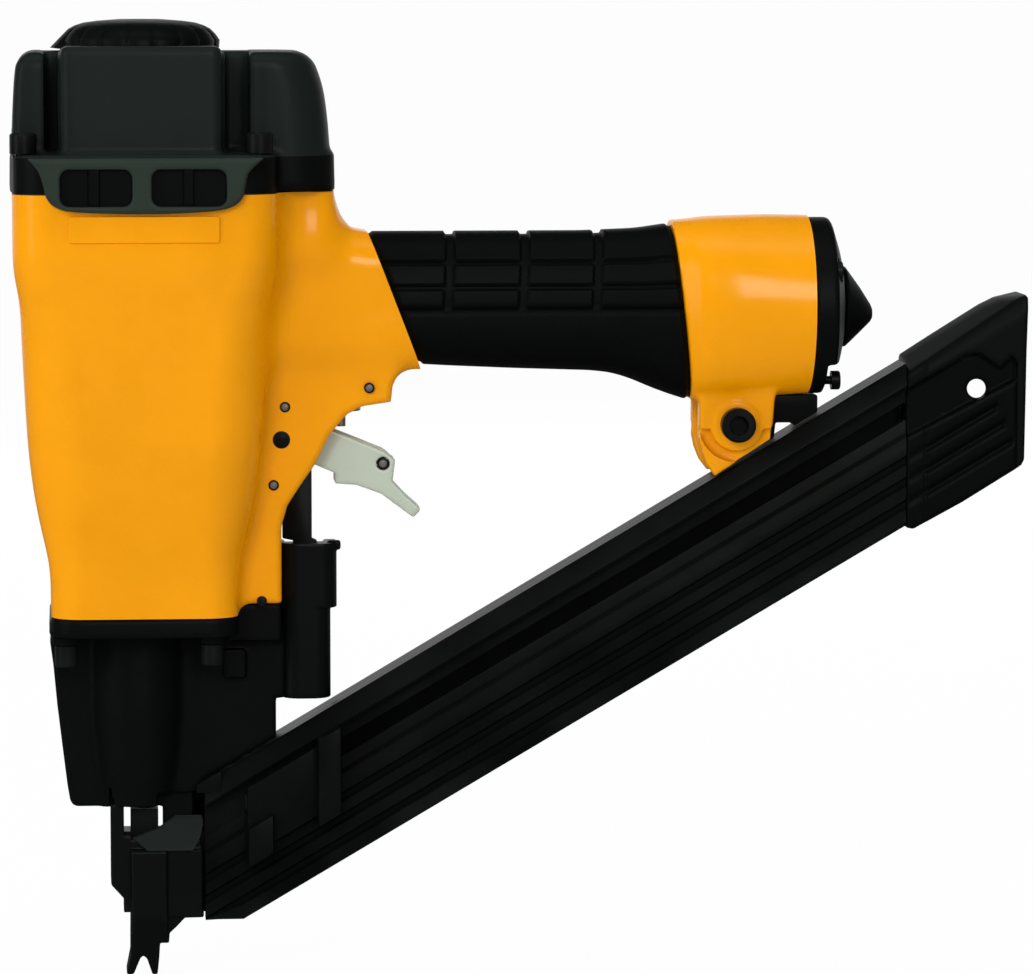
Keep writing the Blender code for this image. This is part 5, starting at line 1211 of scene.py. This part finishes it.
# %% Magazine plates
SLOPE = 0.5894                 # climb of the magazine for each millimetre of X
SLOPE_COS = 0.86146
MAG_LOW = (37.2, 21.7)         # lower front corner of the magazine
MAG_RISE = 53.2
MAG_ENDS = (26.0, 289.3)
FEED_START = 38.0
FEED = (34.0, 40.0)            # rises of the slot that the pusher's arm runs in
LOWER_PROFILE = ((-0.7, 4.5), (-0.7, 11.6), (0.6, 13.0), (4.8, 13.0), (5.6, 11.9), (7.4, 11.9), (8.2, 13.0),
                 (12.2, 13.0), (13.0, 11.9), (14.8, 11.9), (15.6, 13.0), (19.2, 13.0), (20.0, 11.9),
                 (21.8, 11.9), (22.6, 13.0), (26.0, 13.0), (28.4, 12.4), (30.0, 10.8), (34.0, 10.0),
                 (34.0, 4.5))
UPPER_PROFILE = ((40.0, 4.5), (40.0, 10.0), (44.2, 10.0), (44.6, 12.6), (45.4, 13.0), (46.4, 12.9),
                 (51.7, 10.6), (52.5, 9.8), (52.5, 4.5))

LEFT_FRONT = 22.8              # the left plate starts further forward
PROW = [(19.6, 70.2), (29.0, 70.2), (29.0, 78.6), (19.6, 73.2)]


def on_slope(x, rise):
    """Height over the fork tips of a place on the magazine."""
    return max(MAG_LOW[1] + (x - MAG_LOW[0]) * SLOPE + rise / SLOPE_COS, MAG_LOW[1])


def bar(profile, start, end, side=1):
    """Profile of (rise, depth) pushed along the slope between two X."""
    stops = [start] + [x for x in (MAG_LOW[0],) if start < x < end] + [end]
    return loft([[(x, side * depth, on_slope(x, rise)) for rise, depth in profile] for x in stops])


def plate(side):
    """One plate: lower and upper bar, with the slot on the left one closed in front."""
    filler = ((FEED[0], 4.5), (FEED[0], 10.0), (FEED[1], 10.0), (FEED[1], 4.5))
    front, rear = (LEFT_FRONT if side < 0 else MAG_ENDS[0]), MAG_ENDS[1]
    bars = [bar(profile, front, rear, side) for profile in (LOWER_PROFILE, UPPER_PROFILE)]
    bars.append(bar(filler, front, FEED_START if side < 0 else rear, side))
    if side < 0:
        bars.append(prism(PROW, -12.8, -8.3, "Y", 0.4))
    return together(*bars)


for name, side in (("left_plate", -1), ("right_plate", 1)):
    piece(name, plate(side), "black_plate", ["magazine_" + name], sharp=20.0)

TOP_RAIL = ((47.0, -4.45), (47.0, 4.45), (52.2, 4.45), (52.5, 4.2), (52.5, -4.2), (52.2, -4.45))
BOTTOM_RAIL = ((0.3, -4.45), (0.0, -4.2), (0.0, 4.2), (0.3, 4.45), (5.0, 4.45), (5.0, -4.45))
for end, profile in (("top", TOP_RAIL), ("bottom", BOTTOM_RAIL)):
    rail = bar(profile, MAG_LOW[0], MAG_ENDS[1])
    piece("rail_" + end, rail, "black_plate", ["magazine_%s_rail" % end], sharp=20.0)

# %% [markdown]
# The tail cover is a moulded shoe over the rear end. It keeps the track and the ridges going, with a raised
# crown, a hole to hang the tool by, and an open end for the nails to be loaded through. Crown and sunk side
# are one moulding; the crown takes a paler black as painted light and the sunk side a darker one as painted
# shade, so the same field is cast twice, once on each side of the line between them.

# %% Tail cover
TAIL_HOLE = (316.4, 221.6)
TAIL = [(289.6, 168.8), (292.2, 168.3), (311.0, 178.5), (333.4, 192.2), (334.6, 194.6), (335.2, 236.0),
        (335.8, 256.0), (335.0, 257.2), (326.0, 255.2), (320.0, 252.3), (297.4, 238.5), (289.6, 233.5)]
TAIL_SEAM = 296.6              # the rim ahead of it is flush with the plates
TAIL_SUNK = [(286.0, 201.5), (331.0, 225.0), (331.0, 232.0), (329.5, 233.6), (324.9, 229.4), (317.3, 234.7),
             (312.0, 234.3), (296.0, 224.8), (286.0, 219.0)]
CROWN = [(280.0, 216.0), (296.0, 225.4), (312.0, 234.9), (317.4, 235.3), (324.9, 230.0), (329.5, 234.2),
         (331.4, 232.2), (331.4, 192.0), (340.0, 192.0), (340.0, 264.0), (280.0, 264.0)]
CROWN_START = (297.2, 233.4)
CROWN_SLOPE = 0.655            # climb of the crown's near edge
CROWN_FALL = 0.26              # fall of the crown towards the left side
TAIL_GROOVES = ((6.5, 330.0), (13.9, 327.0), (20.9, 324.0))   # rise, and X of the end
PLATE_FACES = (4.5, 13.0)      # depths of the plates' inner and outer face
TAIL_SIDES = ((0.0, 13.8), (45.0, 13.8), (47.0, 13.6), (56.0, 10.8), (75.0, 9.4))


def tail_field(g):
    """Distance to the tail cover."""
    rise = (g.z - MAG_LOW[1] - (g.x - MAG_LOW[0]) * SLOPE) * SLOPE_COS
    half = curve(rise, TAIL_SIDES, 0.6)
    shape = slab(g, TAIL, half, 1.0)
    out = np.abs(g.y)
    edge = CROWN_START[1] + (g.x - CROWN_START[0]) * CROWN_SLOPE
    crown = (g.z - edge - (g.y + 10.0) * CROWN_FALL) * SLOPE_COS
    shape = -weld(-shape, -crown, 1.5)
    shape = carve(shape, thick(g.x - TAIL_SEAM, out, PLATE_FACES[1], 20.0))
    shape = carve(shape, thick(outline(g.x, g.z, TAIL_SUNK), out, 11.2, 20.0, 0.5), 0.8)
    for middle, end in TAIL_GROOVES:
        groove = np.maximum(np.abs(rise - middle) - 1.0, g.x - end)
        shape = carve(shape, thick(groove, out, 12.7, 20.0), 0.5)
    track = np.maximum(np.abs(rise - 26.0) - 21.0, out - PLATE_FACES[0])
    hole = thick(disc(g.x - TAIL_HOLE[0], g.z - TAIL_HOLE[1], 3.6), g.y, -20.0, 0.0)
    behind = thick(disc(g.x - TAIL_HOLE[0] - 1.5, g.z - TAIL_HOLE[1] + 1.5, 7.5), g.y, -9.0, 20.0)
    return carve(carve(carve(shape, track), hole, 0.5), behind)


tail_grid = Grid((288.0, 338.0), (-17.5, 17.5), (166.0, 262.0), 0.7)
tail_distance = tail_field(tail_grid)
crown_part = outline(tail_grid.x, tail_grid.z, CROWN)
# painted light and shade: the sunk side takes the darker plate black, the crown the paler casting black
for name, part, finish in (("tail", -crown_part, "black_plate"), ("tail_crown", crown_part, "black_casting")):
    piece(name, cast(tail_grid, np.maximum(tail_distance, part)), finish, ["magazine_tail_cover"])

# %% [markdown]
# Between the ears hangs a block that carries the magazine, and on the left side of the track runs the
# pusher's handle: a plate with two finger knobs. Both are plain outlines with softened edges.

# %% Hanger and pusher handle
HANGER_ENDS = (217.0, 256.0)
HANGER_NOTCH = (239.4, 247.0)
HANGER_TOP = 219.2
NOTCH_TOP = 208.8


def over_magazine(x):
    """Point just over the magazine."""
    return (x, on_slope(x, MAG_RISE) + 0.3)


hanger_side = [over_magazine(HANGER_ENDS[0]), over_magazine(HANGER_NOTCH[0]), (240.0, NOTCH_TOP),
               (246.6, NOTCH_TOP), over_magazine(HANGER_NOTCH[1]), over_magazine(HANGER_ENDS[1]),
               (HANGER_ENDS[1], HANGER_TOP), (HANGER_ENDS[0], HANGER_TOP)]
piece("hanger", prism(hanger_side, -7.7, 7.7, "Y", 0.7), "black_casting", ["magazine_hanger"])


def sloped(low, high, start, end):
    """Outline between two rises, with upright ends."""
    return [(start, on_slope(start, low)), (end, on_slope(end, low)), (end, on_slope(end, high)),
            (start, on_slope(start, high))]


arm = prism(sloped(34.4, 39.6, 41.5, 53.5), -14.4, -4.4, "Y", 0.4)
slide = prism(sloped(20.0, 43.0, 38.6, 72.0), -16.6, -13.4, "Y", 0.9)
knob = prism(sloped(17.0, 46.0, 65.0, 74.0), -24.6, -14.4, "Y", 1.8)
rest = prism(sloped(17.0, 30.0, 38.8, 48.5), -21.6, -14.4, "Y", 1.6)
piece("pusher", together(arm, slide, knob, rest), "black_casting", ["pusher_handle"], "pusher_body")

# %% [markdown]
# ## Bolts and pins
# Every bolt on this tool is a socket-head screw: a round head with a softened rim and a six-sided socket.
# The frame gives each one's place, length and head size, so one function reads those from its node and
# turns the finished screw there.

# %% Bolts
BOLTS = (
    # nodes, axis, side of the head, head height, shank radius
    (numbered("cap_bolt", 4), 2, 1, 7.5, 3.0),
    (numbered("nose_bolt", 4), 2, -1, 8.0, 2.5),
    (numbered("end_cap_screw", 3), 0, 1, 3.4, 1.6),
    (["deflector_bolt"], 2, 1, 4.0, 3.0),
    (["hanger_bolt"], 1, -1, 6.0, 4.0),
)

SUNK = {"end_cap_screw_1": 2.8, "end_cap_screw_2": 2.8, "end_cap_screw_3": 0.2}


def bolt(node, axis, side, head, shank):
    """Socket-head screw in the place of a node."""
    low, high = node_mm(node)
    across = [index for index in range(3) if index != axis]
    centre = tuple((low[index] + high[index]) / 2 for index in across)
    radius = (high[across[0]] - low[across[0]]) / 2
    end = high[axis] if side > 0 else low[axis]
    start = low[axis] if side > 0 else high[axis]
    end -= SUNK.get(node, 0.0)
    rim = 0.12 * radius
    steps = ((shank, start, False), (shank, end - side * head, False), (radius, end - side * head, False),
             (radius, end - side * rim, False), (radius - rim, end, False), (0.56 * radius, end, False),
             (0.50 * radius, end - side * rim, True), (0.50 * radius, end - side * 0.6 * head, True))
    return loft([ring_of(size, along, "XYZ"[axis], centre, six) for size, along, six in steps])


for nodes, axis, side, head, shank in BOLTS:
    for node in nodes:
        piece(node + "_turned", bolt(node, axis, side, head, shank), "black_steel", [node], sharp=30.0)

# %% [markdown]
# The pins are turned too. Each has a bright domed end that stands a little proud, inside a dark ring that is
# painted shade for the gap round the pin. A small screw with a dome on both ends goes through the foot of the
# web.

# %% Pins
PIN_CORE = 0.72                # bright end of a pin, inside its dark ring of painted shade
PINS = (
    # node, how far its ends stand out, finish, body
    ("trigger_pivot_pin", 0.3, "black_steel", "tool_body"),
    ("roll_pin_1", 0.4, "pin_steel", "tool_body"),
    ("roll_pin_2", 0.4, "pin_steel", "tool_body"),
    ("roll_pin_3", 0.5, "pin_steel", "tool_body"),
    ("pawl_pin", 0.5, "pin_steel", "trigger_body"),
)
for node, proud, finish, carrier in PINS:
    low, high = node_mm(node)
    radius = (high.x - low.x) / 2
    centre = ((low.x + high.x) / 2, (low.z + high.z) / 2)
    near, far = low.y - proud, high.y + proud
    gap_shade = ((radius, near + 0.1), (radius, far - 0.1))
    steps = ((0.35 * radius, near - 0.2), (0.6 * radius, near - 0.1), (PIN_CORE * radius, near + 0.2),
             (PIN_CORE * radius, far - 0.2), (0.6 * radius, far + 0.1), (0.35 * radius, far + 0.2))
    piece(node + "_turned", turned(steps, "Y", centre), finish, [node], carrier, 50.0)
    # the dark ring round each pin is painted shade of the gap in its hole
    ring = soften(turned(gap_shade, "Y", centre), 0.15)
    piece(node + "_collar", ring, "black_steel", [node], carrier, 50.0)

SCREW_SPOT = (44.4, 143.6)
SCREW_STEPS = ((1.2, -18.2), (1.9, -17.8), (1.9, 17.8), (1.2, 18.2))
piece("web_screw", turned(SCREW_STEPS, "Y", SCREW_SPOT), "black_steel", sharp=50.0)

# %% [markdown]
# ## Springs
# A spring is round wire wound on a helix. The plain nodes have only a few sides, so each spring is wound
# again with a smooth wire. A spring whose joint moves gets a mesh of its own.

# %% Springs
SPRINGS = (
    # node, axis, turns, wire radius, joint that shortens it, share of its length that is left
    ("head_valve_spring", 2, 4, 1.1, "head_valve_slide", 0.65),
    ("contact_spring", 2, 7, 0.7, "contact_slide", 0.80),
    ("valve_spring", 2, 4, 0.5, "stem_slide", 0.53),
    ("trigger_spring", 1, 4, 0.5, None, 1.0),
)
PER_TURN = 32
WIRE_SIDES = 12


def spring(node, axis, turns, wire):
    """Coil of round wire in the place of a node."""
    low, high = node_mm(node)
    middle = (low + high) / 2
    across = [index for index in range(3) if index != axis]
    radius = (high[across[0]] - low[across[0]]) / 2 - wire
    rings = []
    for step in range(turns * PER_TURN + 1):
        turn = math.tau * step / PER_TURN
        along = low[axis] + wire + (high[axis] - low[axis] - 2 * wire) * step / (turns * PER_TURN)
        ring = []
        for side in range(WIRE_SIDES):
            lean = math.tau * side / WIRE_SIDES
            out = radius + wire * math.cos(lean)
            a = middle[across[0]] + out * math.cos(turn)
            b = middle[across[1]] + out * math.sin(turn)
            ring.append(place(a, b, along + wire * math.sin(lean), "XYZ"[axis]))
        rings.append(ring)
    return loft(rings)


for node, axis, turns, wire, joint, left in SPRINGS:
    coil = piece(node + "_wound", spring(node, axis, turns, wire), "bare_steel", [node])
    if joint:
        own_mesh(coil)

# %% [markdown]
# ## The rest of the frame
# What is left are the inner parts: sleeve, piston, valve, blade, guide and links. Their plain forms are
# right, so each keeps its mesh, takes the finish of its slot and gets a small bevel at its edges.

# %% Inner parts
INNER = {
    "aluminium": ("air_inlet_bush", "cylinder_sleeve", "piston", "valve_body"),
    "seal_rubber": ("piston_bumper", "piston_ring"),
    "black_casting": ("head_valve",),
    "black_steel": ("nose_guide", "contact_link"),
    "bare_steel": ("driver_blade", "trigger_pawl", "valve_stem", "pusher_shoe"),
}
for finish, nodes in INNER.items():
    for node in nodes:
        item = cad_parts[node]
        item.data.materials.clear()
        item.data.materials.append(FINISHES[finish])
        weld_points = item.modifiers.new("weld", "WELD")
        weld_points.merge_threshold = 0.00001
        edge = item.modifiers.new("edge", "BEVEL")
        edge.width = 0.0003
        edge.segments = 2
        edge.limit_method = "ANGLE"
print(sum(len(nodes) for nodes in INNER.values()), "inner parts finished")
